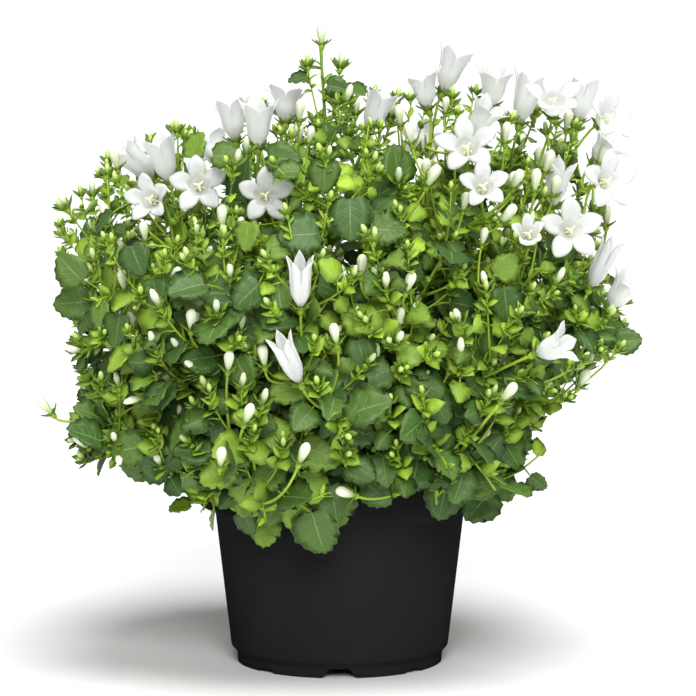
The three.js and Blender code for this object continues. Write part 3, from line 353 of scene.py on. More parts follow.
class Line:
    """A quadratic curve with its sample points, and the coarser path that its leaves and stalks stand on."""

    def __init__(self, start, control, end, steps):
        self.ends = np.array([start, control, end], float)
        self.points = bezier(self.ends, np.linspace(0, 1, SAMPLES + 1))
        self.path = bezier(self.ends, np.linspace(0, 1, steps + 1))
        self.steps = steps

    def at(self, t):
        """The point and the unit tangent at share t of the curve."""
        return bezier(self.ends, [t])[0], slope(self.ends, [t])[0]

    def on_path(self, t):
        """The point at share t of the coarse path."""
        step = min(int(t * self.steps), self.steps - 1)
        return self.path[step] + (self.path[step + 1] - self.path[step]) * (t * self.steps - step)

    def length(self):
        """The curve's length, added up over its chords."""
        chords = np.diff(bezier(self.ends, np.linspace(0, 1, CHORDS + 1)), axis=0)
        return np.linalg.norm(chords, axis=1).sum()


# The plant's skeleton and its large leaves, by the same rules as the solids


def main_line(tip, lean):
    """A stem: its root is the tip drawn in to a share of its distance, and its control point leans out."""
    tip = np.array(tip, float)
    root = np.append(tip[:2] * (GROWTH.inner + GROWTH.spread * lean), SOIL_TOP + GROWTH.root_lift)
    control = root + (tip - root) * GROWTH.outward * lean
    control[2] = root[2] + max((tip[2] - root[2]) * GROWTH.rise, GROWTH.clear_rim)
    return Line(root, control, tip, 5)


def nearest(lines, place):
    """The line and the sample of it that lie nearest to a place, and how far off they are."""
    points = np.concatenate([line.points for line in lines])
    distances = np.linalg.norm(points - place, axis=1)
    best = int(np.argmin(distances))
    return distances[best], best // (SAMPLES + 1), best % (SAMPLES + 1)


def shoot_line(main, tip):
    """A side shoot: it starts below the stem's nearest point and arches over to its tip."""
    tip = np.array(tip, float)
    sample = nearest([main], tip)[2]
    low = max(ARCH.lowest, min(sample - ARCH.below, SAMPLES - ARCH.lowest))
    start = main.on_path((int(low / SAMPLES * main.steps) + 0.5) / main.steps)
    span = tip - start
    arch = ARCH.height * np.linalg.norm(span) * (1 if tip[2] > RIM_TOP + 1.4 else ARCH.over_rim)
    return Line(start, start + span * 0.5 + UP * arch, tip, 2)


def stalk_line(stems, seat, face):
    """A flower's or bud's stalk, from the nearest stem to its seat, which it meets along its axis."""
    foot = seat - face * STALK.back - UP * STALK.sink
    found = [nearest(stem["lines"], foot) for stem in stems]
    best = min(range(len(stems)), key=lambda k: found[k][0])
    line = stems[best]["lines"][found[best][1]]
    start = line.on_path(found[best][2] / SAMPLES)
    end = seat - face * CALYX.cup
    control = end - face * STALK.bend * np.linalg.norm(start - seat)
    return stems[best], Line(start, control, end, STALK.steps)


# What grows on each stem, besides its lines
GROWN = ("stalks", "seats", "twigs", "pale_stalks", "pale_buds", "leaves", "small_leaves", "young", "buds")


def grow_skeleton():
    """Every stem with its lines, its stalks, and the flowers and buds at their ends."""
    stems = []
    for tip, lean, shoots in STEMS:
        main = main_line(tip, lean)
        lines = [main] + [shoot_line(main, shoot) for shoot in shoots]
        stems.append({"lines": lines} | {kind: [] for kind in GROWN})
    seats = [(seat, face, False) for seat, face, _, _ in FLOWERS] + [(*bud, True) for bud in BUDS]
    for seat, face, is_bud in seats:
        seat, face = np.array(seat, float), unit(np.array(face, float))
        stem, line = stalk_line(stems, seat, face)
        stem["stalks"].append(line)
        stem["seats"].append((seat, face, is_bud))
    return stems


def look(outward, shares):
    """The way a leaf's face looks: a mix of outward, up and the front, by their shares."""
    return outward * shares[0] + UP * shares[1] + FRONT * shares[2]


def leaf_place(point, tangent, angle, lift):
    """A leaf's directions: it turns out from its stem at the angle and shows its face up and out."""
    outward = np.array([point[0], point[1], 0]) / TURN.edge
    across = square_to(tangent, outward + UP * 0.1)
    spoke = turned_about(tangent, across, angle)
    petiole = unit(spoke + tangent * TURN.petiole_rise + outward * TURN.petiole_out)
    forward = unit(spoke + outward * TURN.blade_out + UP * lift)
    return petiole, forward, square_to(forward, look(outward, FACES.large))


def leaf(root, base, forward, normal, scale, age, breadth=1):
    """What a leaf is made from: where its stalk starts, its blade's base and directions, and its growth."""
    return dict(root=root, base=base, forward=forward, normal=normal, scale=scale, age=age, breadth=breadth)


# Half the outline of the blades of the solids, from base to tip, as shares of their length and width
LEAF_HALF = np.array([(0, 0.06), (-0.06, 0.41), (0.27, 0.38), (0.46, 0.46)])
YOUNG_HALF = np.array([(0.26, 0.36), (0.44, 0.3), (0.62, 0.34)])


def blade_points(base, forward, normal, scale, young):
    """The outline of a leaf's solid and its middle: base + u length forward + v width across + its fold."""
    size, half = (YOUNG, YOUNG_HALF) if young else (LEAF, LEAF_HALF)
    ends = [(-0.1, 0), (1, 0)] if young else [(1, 0)]
    middle = 0.42 if young else 0.5
    u, v = np.concatenate([half, half * (1, -1), ends, [(middle, 0)]]).T
    droop = 0 if young else LEAF.droop * scale
    lift = size.fold * np.abs(v) * size.width * scale - droop * u * u
    side = np.cross(forward, normal)
    return (base + np.outer(u * size.length * scale, forward) + np.outer(v * size.width * scale, side)
            + np.outer(lift, normal))


def before_seat(seat, face, distance):
    """The point at a distance from a seat, along the way that its flower or bud faces."""
    return np.array(seat) + distance * unit(np.array(face, float))


# The space that each open flower keeps free: a ball round its bell, as its centre and its radius
FLOWER_BALLS = np.array([[*before_seat(seat, face, 8), width / 2 + 2.5] for seat, face, width, _ in FLOWERS])


def reach_at(x, height, table=OUTLINE):
    """How far a table of (height, left, right) reaches at a height, to the left for a negative x and else
    to the right."""
    heights, left, right = np.array(table, float).T
    return np.where(x < 0, np.interp(height, heights, left), np.interp(height, heights, right))


def is_clear(points):
    """Whether all points are off the rim, the soil and the flowers, and inside the plant's box."""
    radius = np.hypot(points[:, 0], points[:, 1])
    over_pot = radius < RIM_RADIUS + CLEAR.rim
    in_rim = over_pot & (points[:, 2] < RIM_TOP + CLEAR.rim) & (radius > RIM_RADIUS - CLEAR.wall)
    in_soil = over_pot & (points[:, 2] < SOIL_TOP + CLEAR.soil)
    apart = np.linalg.norm(points[:, None] - FLOWER_BALLS[None, :, :3], axis=2)
    in_flower = (apart < FLOWER_BALLS[:, 3]).any(1)
    outside = (np.abs(points[:, 0]) >= reach_at(points[:, 0], points[:, 2])) | (np.abs(points[:, 1]) >= DEPTH)
    return not (in_rim | in_soil | in_flower | outside).any()


def grow_large_leaves(stems):
    """The leaves that the solids have: golden-angle places, each turned until its blade has room."""
    state = DRAW.seed

    def draw(low, high):
        nonlocal state
        state = (state * DRAW.factor + DRAW.step) % DRAW.cut
        return low + (high - low) * state / DRAW.cut

    samples = [np.concatenate([line.points for line in stem["lines"] + stem["stalks"]]) for stem in stems]
    firsts = np.cumsum([0] + [len(block) for block in samples[:-1]])
    samples = np.concatenate(samples)

    def in_own_space(points, own):
        apart = np.linalg.norm(points[:, None] - samples[None], axis=2)
        to_stem = np.minimum.reduceat(apart, firsts, axis=1)
        home = to_stem[:, own]
        others = np.delete(to_stem, own, axis=1)
        return (others > home[:, None] + LEAF.own_space).all()

    kept = []
    for own, stem in enumerate(stems):
        for rank, line in enumerate(stem["lines"]):
            spacing, first = LINE_LEAVES[min(rank, 1)]
            count = int(np.floor(line.length() * (1 - first) / spacing + 0.5))
            for k in range(count):
                t = first + (1 - first) * (k + 0.4) / count
                young = t > YOUNG.first
                scale = draw(*YOUNG.size) if young else draw(*LEAF.size) * (1 - LEAF.shrink * t * t)
                root, tangent = line.at(t)
                point = line.on_path(t)
                whorl = (GOLDEN_ANGLE * (k + 2 * rank + 1)) % (2 * np.pi)
                start = WHORL.share * (whorl - np.pi) + draw(-WHORL.jitter, WHORL.jitter)
                lift = draw(*WHORL.lift)
                reach = draw(*LEAF.petiole)
                for turn in WHORL.turns:
                    petiole, forward, normal = leaf_place(point, tangent, start + turn, lift)
                    base = point if young else point + petiole * reach
                    blade = blade_points(base, forward, normal, scale, young)
                    clearance = [YOUNG.clearance if young or other else LEAF.clearance
                                 for _, other in kept]
                    apart = [np.linalg.norm(middle - blade[-1]) for middle, _ in kept]
                    if (np.array(apart) > clearance).all() and is_clear(blade) and in_own_space(blade, own):
                        kept.append((blade[-1], young))
                        age = 0.25 if young else 0.85 - 0.5 * max(t - 0.5, 0)
                        kind = "young" if young else "leaves"
                        stem[kind].append(leaf(root, base, forward, normal, scale, age))
                        break
    return [middle for middle, _ in kept]


# The finer growth


def depth_at(z):
    """How far the bush reaches to the front and the back at a height."""
    return np.interp(z, *np.transpose(DEPTHS))


def share_between(value, ends):
    """Where a value lies between two ends, from 0 at or below the first to 1 at or above the second."""
    return np.clip((value - ends[0]) / (ends[1] - ends[0]), 0, 1)


def dome_radius(direction, z):
    """How far the bush reaches in a direction at a height: an ellipse of its outline and its depth."""
    return 1 / np.hypot(direction[0] / reach_at(direction[0], z), direction[1] / depth_at(z))


def seen_height(points):
    """The height at which points are seen from the front, a little from above."""
    return points[..., 2] + SEEN_TILT * points[..., 1]


def nearest_point(points, place):
    """The number of the point that lies nearest to a place."""
    return int(np.argmin(np.linalg.norm(points - place, axis=1)))


def places_on_branches(stems):
    """The sample points of every stem, shoot and twig, and the stem that each point belongs to."""
    grown = [(stem, line) for stem in stems for line in stem["lines"] + stem["twigs"]]
    points = np.concatenate([line.points for _, line in grown])
    return points, [stem for stem, line in grown for _ in line.points]


def is_inside_view(points, margin=0.0):
    """Whether points lie inside the outline as it is seen from the front, or by a margin inside it."""
    seen = seen_height(points)
    hang = reach_at(points[:, 0], seen, HANGING)
    hang = np.where((seen > HANGING[-1][0]) | (points[:, 1] > 0), np.inf, hang)
    reach = np.minimum(reach_at(points[:, 0], seen) + 1, hang)
    return bool((np.abs(points[:, 0]) < reach - margin).all())


def is_open(point):
    """Whether a single point is clear, and inside the outline in the view."""
    return is_clear(point[None]) and is_inside_view(point[None])


def hides_flower(point, reach):
    """Whether a point stands before an open flower or a large bud, seen from the front."""
    across = KEEP_OPEN[:, 0] - point[0]
    level = seen_height(KEEP_OPEN) - seen_height(point)
    before = KEEP_OPEN[:, 1] > point[1] - 2
    return bool((before & (np.hypot(across, level) < KEEP_OPEN[:, 3] + reach)).any())


def at_front(across, seen):
    """The point of the bush's front at a place across and a seen height. The depth and the height follow
    from each other, so they are worked out in four rounds."""
    y = -60.0
    for _ in range(4):
        z = seen - SEEN_TILT * y
        share = min(abs(across) / float(reach_at(across, z)), 0.96)
        y = -FRONT_SHARE * depth_at(z) * np.sqrt(1 - share**2)
    return np.array([across, y, z])


# What the finer growth doesn't hide in the view: open flowers, large buds and leaves at plain places, each
# as the middle of it and a radius
KEEP_OPEN = np.array(
    [[*before_seat(seat, face, 10 if opened < 0.7 else 4), width * 0.4]
     for seat, face, width, opened in FLOWERS]
    + [[*before_seat(seat, face, 5), 3] for seat, face in BUDS]
    + [[*at_front(across, seen), 2.6 * size] for across, seen, _, size, _, _ in PLAIN_LEAVES])


def grow_twigs(stems):
    """Twigs from the stems to the plain places and to places spread through the outer part of the bush. A
    place needs room round it, and its twig starts inward of it and below it, further below in the crown."""
    owners = [stem for stem in stems for _ in stem["lines"]]
    lines = [line for stem in stems for line in stem["lines"]]
    points = np.concatenate([line.points[:-1] for line in lines])
    tips = np.array([line.points[-1] for line in lines])
    places = [np.array(place, float) for place in PLAIN_TWIGS]
    for _ in range(TWIGS.tries):
        turn, z = chance.uniform(0, 2 * np.pi), chance.uniform(TWIGS.low, TWIGS.high)
        direction = np.array([np.cos(turn), np.sin(turn)])
        share = 1 - (1 - TWIGS.inmost) * chance.uniform() ** TWIGS.crowding
        places.append(np.append(direction * (dome_radius(direction, z) - TWIGS.inset) * share, z))
    for k, tip in enumerate(places):
        plain = k < len(PLAIN_TWIGS)
        high = share_between(tip[2], TWIGS.crown)
        room = TWIGS.spacing + TWIGS.airy * high
        if not plain and np.linalg.norm(tips - tip, axis=1).min() < room:
            continue
        if not (plain or is_open(tip)) or hides_flower(tip, TWIGS.off_flowers):
            continue
        outward = np.append(unit(tip[:2]), 0)
        inward, down = (base + added * high for base, added in (TWIGS.inward, TWIGS.down))
        foot = tip - outward * inward - UP * down
        best = nearest_point(points, foot)
        start = points[best]
        span = tip - start
        if np.linalg.norm(span) > TWIGS.longest:
            continue
        control = start + span * TWIGS.bend
        if np.hypot(*start[:2]) < RIM_RADIUS and tip[2] < RIM_TOP + TWIGS.hangs_below:
            control = start + span * 0.5 + UP * TWIGS.arch * np.linalg.norm(span)
        owners[best // SAMPLES]["twigs"].append(Line(start, control, tip, TWIGS.steps))
        tips = np.vstack([tips, tip])


def grow_plain_buds(stems):
    """The large pale buds of the front, each on a stalk from the nearest stem or twig below it."""
    points, owners = places_on_branches(stems)
    for across, seen, lean, size in PLAIN_BUDS:
        seat = at_front(across, seen) * PLAIN.bud_in
        face = unit(np.array([lean, PLAIN.bud_lean, 1.0]))
        best = nearest_point(points, seat - face * PLAIN.bud_root)
        end = seat - face * CALYX.cup * CALYX.bud_scale * size
        control = end - face * STALK.bend * np.linalg.norm(seat - points[best])
        owners[best]["pale_buds"].append((seat, face, size))
        owners[best]["pale_stalks"].append(Line(points[best], control, end, STALK.steps))


def free_leaf_place(point, tangent, angle, lift):
    """A fine leaf's directions: like a large leaf's, but its face looks further out and to the front."""
    petiole, forward, _ = leaf_place(point, tangent, angle, lift)
    outward = np.array([point[0], point[1], 0]) / TURN.edge
    normal = square_to(forward, look(outward, FACES.fine))
    return petiole, forward, turned_about(forward, normal, chance.normal(0, ROLL))


def grow_plain_leaves(stems, middles):
    """The leaves whose place is plain, each on the nearest stem or twig behind it."""
    points, owners = places_on_branches(stems)
    for across, seen, heading, size, age, roll in PLAIN_LEAVES:
        middle = at_front(across, seen)
        outward = unit(middle * (1, 1, 0))
        heading = np.radians(heading)
        forward = unit(np.array([np.cos(heading), 0, np.sin(heading)]) + outward * PLAIN.lean_out)
        size = size * PLAIN.size
        normal = square_to(forward, look(outward, FACES.plain))
        normal = turned_about(forward, normal, roll)
        base = middle - forward * LEAF.length * size * PLAIN.middle
        best = nearest_point(points, base - outward * PLAIN.foot[0] + UP * PLAIN.foot[1])
        owners[best]["leaves"].append(leaf(points[best], base, forward, normal, size, age))
        middles.append(middle)


def soften_stalks(stems):
    """Moves each stalk that leaves its shoot's very tip back along the shoot, so that it makes no corner."""
    for stem in stems:
        for stalk in stem["stalks"]:
            for line in stem["lines"]:
                if np.linalg.norm(line.points[-1] - stalk.ends[0]) < STALK.at_tip:
                    stalk.ends[0] = bezier(line.ends, [STALK.moved_to])[0]


def is_fresh(tip):
    """Whether a shoot or twig ends in one of the clumps of fresh sprigs, as they are seen from the front."""
    across, seen, radius = np.array(FRESH_CLUMPS, float).T
    return bool((np.hypot(tip[0] - across, seen_height(tip) - seen) < radius).any())


def size_at(z):
    """How large leaves grow at a height."""
    return np.interp(z, *np.transpose(SIZE_BY_HEIGHT))


def grow_fine_leaves(stems, middles):
    """Leaves on stems, shoots and twigs wherever a blade has room. They are smaller towards the tips and the
    top, and younger there and in the fresh clumps. High up they need more room, and keep off the outline."""
    middles = np.array(middles)
    for stem in stems:
        kinds = [(line, *FINE.on_lines) for line in stem["lines"]]
        kinds += [(line, *FINE.on_twigs) for line in stem["twigs"]]
        for line, spacing, first, last in kinds:
            count = max(3, int(line.length() * (last - first) / spacing))
            freshness = FINE.fresh if is_fresh(line.points[-1]) else 1.0
            for k in range(count):
                t = first + (last - first) * (k + chance.uniform(0.2, 0.8)) / count
                point, tangent = line.at(t)
                size = size_at(point[2])
                scale = size * (FINE.size[0] + FINE.size[1] * chance.uniform())
                scale = scale * (1 - FINE.shrink * max(t - 0.5, 0) / 0.5)
                angle = GOLDEN_ANGLE * k + chance.uniform(-FINE.turn, FINE.turn)
                lift = chance.uniform(*FINE.lift)
                petiole, forward, normal = free_leaf_place(point, tangent, angle, lift)
                base = point + petiole * chance.uniform(*FINE.petiole) * (0.5 + 0.6 * scale)
                blade = base + forward * np.array([[0], [0.5], [1]]) * LEAF.length * scale
                least, by_size, high_up = FINE.room
                room = least + by_size * scale + high_up * share_between(point[2], FINE.airy_from)
                margin = FINE.keep_off * share_between(point[2], FINE.sprigs_from)
                if np.linalg.norm(middles - blade[1], axis=1).min() < room:
                    continue
                if not is_clear(blade) or not is_inside_view(blade, margin):
                    continue
                if hides_flower(blade[1], 6 * scale) or hides_flower(blade[2], 2):
                    continue
                middles = np.vstack([middles, blade[1]])
                age = 1.0 - 0.7 * max(t - 0.4, 0) - 0.9 * (1.02 - size)
                age = age * chance.uniform(*FINE.age) * freshness
                kind = "leaves" if scale > FINE.large else "small_leaves"
                stem[kind].append(leaf(point, base, forward, normal, scale, np.clip(age, 0.05, 1)))


def grow_bracts(stems):
    """The young leaves near the end of every shoot and twig: narrow ones close to the tip, and below them
    a rosette of broad ones that spread sideways."""
    for stem in stems:
        for line in stem["lines"] + stem["twigs"]:
            for k in range(ROUND_TIP):
                kind = "narrow" if k < NARROW else "broad"
                first, step, lean, breadth, sizes, ages = BRACTS[kind]
                t = first - step * k + chance.uniform(-0.03, 0.02)
                point, tangent = line.at(t)
                angle = GOLDEN_ANGLE * k + chance.uniform(-0.4, 0.4)
                _, forward, normal = free_leaf_place(point, tangent, angle, chance.uniform(-0.1, 0.6))
                forward = unit(forward + tangent * lean)
                normal = square_to(forward, normal + UP * 0.3)
                scale = chance.uniform(*sizes) * (size_at(point[2]) if kind == "broad" else 1)
                tip = point + forward * YOUNG.length * scale
                if is_open(tip) and not hides_flower(tip, 1):
                    age = chance.uniform(*ages)
                    stem["young"].append(leaf(point, point, forward, normal, scale, age, breadth))


def grow_small_buds(stems):
    """Small buds, most of them green: one at the tip of each shoot and twig, and on some a second one on a
    short stalk below it."""
    for stem in stems:
        for line in stem["twigs"] + stem["lines"][1:]:
            for k in range(chance.integers(1, 3)):
                t = 1 - BUDDING.step * k
                point, tangent = line.at(t)
                if point[2] < RIM_TOP + BUDDING.over_rim:
                    continue
                angle = GOLDEN_ANGLE * k + chance.uniform(0, 2 * np.pi)
                petiole, _, _ = leaf_place(point, tangent, angle, 0.6)
                face = unit(tangent * (2 if k == 0 else 0.6) + petiole * 0.8 + UP * 0.9)
                reach = BUDDING.at_tip if k == 0 else chance.uniform(*BUDDING.stalk)
                seat = point + unit(petiole + tangent + UP * 0.6) * reach
                if not is_open(seat) or hides_flower(seat, 1.5):
                    continue
                is_green = chance.uniform() > BUDDING.pale_share
                ripe = chance.uniform(*(BUDDING.green if is_green else BUDDING.pale))
                least, by_ripeness = BUDDING.size
                size = least + by_ripeness * ripe + chance.uniform(0, BUDDING.luck)
                stem["buds"].append(dict(root=point, seat=seat, face=face, size=size, ripe=ripe))


# Meshes


def grid(rows, columns, closed=False):
    """Quads between neighbouring rows of a grid of vertices, closed round each row or not."""
    across = columns if closed else columns - 1
    i, j = np.meshgrid(np.arange(rows - 1), np.arange(across), indexing="ij")
    a, b = i * columns + j, i * columns + (j + 1) % columns
    return np.stack([a, b, b + columns, a + columns], -1).reshape(-1, 4)


class Piece:
    """What a mesh is made of: its points, faces, finishes, surface places and growth values."""

    def __init__(self):
        self.points, self.places, self.growth = [], [], []
        self.faces, self.finishes, self.count = [], [], 0

    def add(self, points, faces, finish, places, growth):
        """Adds copies of one form. Points are (copies, vertices, 3), and faces number one copy's vertices."""
        copies, size = points.shape[:2]
        for block in faces:
            every = block[None] + size * np.arange(copies)[:, None, None] + self.count
            rows = every.reshape(-1, block.shape[1]).tolist()
            self.faces += rows
            self.finishes += [finish] * len(rows)
        self.points.append(points.reshape(-1, 3))
        self.places.append(np.broadcast_to(places, (copies, size, 2)).reshape(-1, 2))
        self.growth.append(np.broadcast_to(growth, (copies, size, 3)).reshape(-1, 3))
        self.count += copies * size

    def make(self, name, materials, nodes=()):
        """Makes the object, with a UV map of its places and its growth values as a colour attribute."""
        mesh = bpy.data.meshes.new(name)
        mesh.from_pydata((np.concatenate(self.points) * MM).tolist(), [], self.faces)
        for material in materials:
            mesh.materials.append(material)
        mesh.polygons.foreach_set("material_index", np.array(self.finishes, np.int32))
        mesh.polygons.foreach_set("use_smooth", np.ones(len(self.faces), bool))
        corners = np.zeros(len(mesh.loops), np.int32)
        mesh.loops.foreach_get("vertex_index", corners)
        places = mesh.uv_layers.new(name="surface")
        places.data.foreach_set("uv", np.concatenate(self.places)[corners].astype(np.float32).ravel())
        growth = mesh.attributes.new("growth", "FLOAT_COLOR", "POINT")
        values = np.concatenate(self.growth)
        values = np.column_stack([values, np.ones(len(values))])
        growth.data.foreach_set("color", values.astype(np.float32).ravel())
        mesh.update()
        piece = put(name, mesh)
        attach(piece, "root")
        if nodes:
            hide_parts(*nodes)
        return piece


def add_rings(piece, rings, start, end, finish, growth):
    """Closed bodies: rings (copies, rows, sides, 3) that close on a start and an end point."""
    copies, rows, sides = rings.shape[:3]
    ring = np.arange(sides)
    after = (ring + 1) % sides
    low = np.stack([after, ring, np.full(sides, rows * sides)], -1)
    high = np.stack([ring, after, np.full(sides, rows * sides + 1)], -1)
    high[:, :2] += (rows - 1) * sides
    points = np.concatenate([rings.reshape(copies, -1, 3), start[:, None], end[:, None]], 1)
    turn, way = np.meshgrid(ring / sides, np.linspace(0, 1, rows))
    places = np.concatenate([np.stack([turn, way], -1).reshape(-1, 2), [(0.5, 0), (0.5, 1)]])
    growth = np.asarray(growth, float)
    if growth.ndim == 4:
        ends = growth[:, [0, -1], 0]
        growth = np.concatenate([growth.reshape(copies, -1, 3), ends], 1)
    piece.add(points, [grid(rows, sides, True), low, high], finish, places, growth)


def add_tubes(piece, ends, start_radius, end_radius, steps, sides, finish, growth, flare=0.0):
    """Round bars along quadratic curves. A quadratic curve is flat, so one side of each ring is the normal
    of its plane, and the other is square to that and to the slope. The radius goes evenly from the start's
    to the end's, and swells by the flare at the start."""
    ends = np.asarray(ends, float)
    t = np.linspace(0, 1, steps + 1)
    flat = np.cross(ends[:, 1] - ends[:, 0], ends[:, 2] - ends[:, 1])
    straight = np.linalg.norm(flat, axis=1) < 1e-4
    flat[straight] = np.cross(ends[straight, 2] - ends[straight, 0], (0.31, 0.77, 0.55))
    centre, tangent = bezier(ends, t), slope(ends, t)
    side = np.broadcast_to(unit(flat)[:, None], tangent.shape)
    other = np.cross(tangent, side)
    start_radius = np.broadcast_to(start_radius, len(ends))[:, None]
    end_radius = np.broadcast_to(end_radius, len(ends))[:, None]
    radius = (start_radius + (end_radius - start_radius) * t) * (1 + flare * (1 - t) ** 6)
    rings = centre[:, :, None] + radius[:, :, None, None] * spokes(side, other, turns(sides))
    add_rings(piece, rings, centre[:, 0], centre[:, -1], finish, growth)


def each(rows, *keys):
    """The values that a list of dicts or tuples holds under each key, as arrays."""
    return [np.array([row[key] for row in rows]) for key in keys]


# Every blade: the centre of its edge's polar steps, the share of a step at which they start, how deep the
# edge dips between two teeth, how far the wave's phase moves from copy to copy, from row to row and from
# side to side, and how far each half bulges
BLADE = Sizes(centre=0.42, first_step=0.35, notch=-0.6, phase=(2.4, 1.9, 1.5), bulge=0.35)


def leaf_form(rows, columns, thickness, knots, lag, tooth):
    """A blade's form. Its edge runs in polar steps round a centre from the base to the tip, at a radius
    read off knots of (angle, radius), with every second point drawn out as a tooth. Each row of vertices
    joins a point of the rib, which lags towards the base, to the edge's point."""
    centre = BLADE.centre
    share = (np.arange(rows) + BLADE.first_step) / rows
    angle = np.radians(np.interp(share, (0, 1), (knots[0][0], 0)))
    reach = np.interp(angle, np.radians([k[0] for k in knots[::-1]]), [k[1] for k in knots[::-1]])
    reach = reach * (1 + tooth * np.where(np.arange(rows) % 2 == 1, 1, BLADE.notch))
    rib = (np.arange(rows) / rows) ** lag
    edge = np.stack([centre + reach * np.cos(angle), reach * np.sin(angle)], -1)
    return Sizes(rows=rows, columns=np.array(columns, float), thickness=thickness, rib=rib, edge=edge)


HEART_EDGE = [(174, 0.42), (160, 0.49), (140, 0.55), (115, 0.56), (90, 0.53), (60, 0.495), (35, 0.49),
              (15, 0.53), (0, 0.58)]
LEAF_FORM = leaf_form(13, (-1, -0.5, 0, 0.5, 1), 0.45, HEART_EDGE, 1.3, 0.055)
SMALL_LEAF_FORM = leaf_form(8, (-1, 0, 1), 0.4, HEART_EDGE, 1.3, 0.055)
BRACT_FORM = leaf_form(3, (-1, 0, 1), 0.4,
                       [(175, 0.4), (150, 0.38), (120, 0.3), (90, 0.26), (60, 0.26), (30, 0.34), (0, 0.58)],
                       1.0, 0.0)
SEPAL_EDGE = [(178, 0.42), (160, 0.4), (120, 0.2), (90, 0.14), (60, 0.13), (25, 0.2), (0, 0.58)]
SEPAL_FORM = leaf_form(5, (-1, 0, 1), 0.45, SEPAL_EDGE, 1.0, 0.0)
SMALL_SEPAL_FORM = leaf_form(2, (-1, 0, 1), 0.4, [(178, 0.42), (90, 0.15), (0, 0.58)], 1.0, 0.0)


def add_blades(piece, form, base, forward, normal, length, width, fold, droop, finish, growth, wave=0.0):
    """Closed thin blades. A vertex stands at base + x length forward + y width across + z normal, where z is
    the fold times |y| less the droop times x squared, plus a wave along the edge. The lower face is the
    upper one less the thickness, and the two share the edge and the tip."""
    rows, v = form.rows, form.columns
    copies, wide = len(base), len(form.columns)
    x = form.rib[:, None] + (form.edge[:, :1] - form.rib[:, None]) * np.abs(v)
    y = form.edge[:, 1:] * v
    side = np.cross(forward, normal)
    length, width, fold, droop, wave = (np.broadcast_to(value, copies)[:, None, None]
                                        for value in (length, width, fold, droop, wave))
    by_copy, by_row, by_side = BLADE.phase
    phase = np.arange(copies)[:, None, None] * by_copy
    ripple = wave * v**2 * np.sin(phase + by_row * np.arange(rows)[:, None] + by_side * np.sign(v))
    bulge = BLADE.bulge * (1 - np.abs(2 * np.abs(v) - 1))
    z = fold * np.abs(y) * width - droop * x**2 + ripple * width + bulge * form.thickness
    place = np.stack([x * length, y * width, z], -1)
    axes = np.stack([forward, side, normal], 1)
    top = base[:, None, None] + np.einsum("nrcx,nxk->nrck", place, axes)
    tip_place = np.stack([length[:, 0, 0], 0 * length[:, 0, 0], -droop[:, 0, 0]], -1)
    tip = base + np.einsum("nx,nxk->nk", tip_place, axes)
    bottom = top[:, :, 1:-1] - normal[:, None, None] * form.thickness
    points = np.concatenate([top.reshape(copies, -1, 3), tip[:, None], bottom.reshape(copies, -1, 3)], 1)

    upper = np.arange(rows * wide).reshape(rows, wide)
    under = upper.copy()
    under[:, 1:-1] = rows * wide + 1 + np.arange(rows * (wide - 2)).reshape(rows, wide - 2)
    point = np.full(wide - 1, rows * wide)
    base_quads = np.stack([upper[0, 1:], upper[0, :-1], under[0, :-1], under[0, 1:]], -1)
    faces = [
        grid(rows, wide),
        np.stack([upper[-1, :-1], upper[-1, 1:], point], -1),
        np.stack([under[:-1, 1:], under[:-1, :-1], under[1:, :-1], under[1:, 1:]], -1).reshape(-1, 4),
        np.stack([under[-1, 1:], under[-1, :-1], point], -1),
        base_quads[1:-1],
        base_quads[:1, [0, 1, 3]],
        base_quads[-1:, [0, 1, 2]],
    ]
    along = np.broadcast_to(np.arange(rows)[:, None] / rows, (rows, wide))
    across = np.broadcast_to(v, (rows, wide))
    spots = np.stack([along, across], -1)
    places = np.concatenate([spots.reshape(-1, 2), [(1, 0)], spots[:, 1:-1].reshape(-1, 2)])
    is_under = np.zeros(points.shape[1])
    is_under[rows * wide + 1:] = 1
    growth = np.broadcast_to(np.asarray(growth, float)[:, None], (copies, points.shape[1], 3)).copy()
    growth[:, :, 2] = is_under
    piece.add(points, faces, finish, places, growth)


STEM, LEAF_BLADE, BUD_SKIN = 0, 1, 2
# What luck makes of a blade: how far its fold swings in all, and the least of its width, of its droop and of
# the wave of its edge, each with what luck adds
BLADE_LUCK = Sizes(fold=0.16, width=(0.92, 0.16), droop=(0.6, 1), wave=(0.02, 0.03))
# A petiole: how far it runs in under the blade and how deep, its arch, its radius at the stem with the
# share of it that grows with the leaf, its radius at the blade, its flare, and its age beside the blade's
PETIOLE = Sizes(under=0.06, deep=0.2, arch=0.12, start=0.55, grows=(0.7, 0.4), end=0.4, flare=0.5, age=0.6)


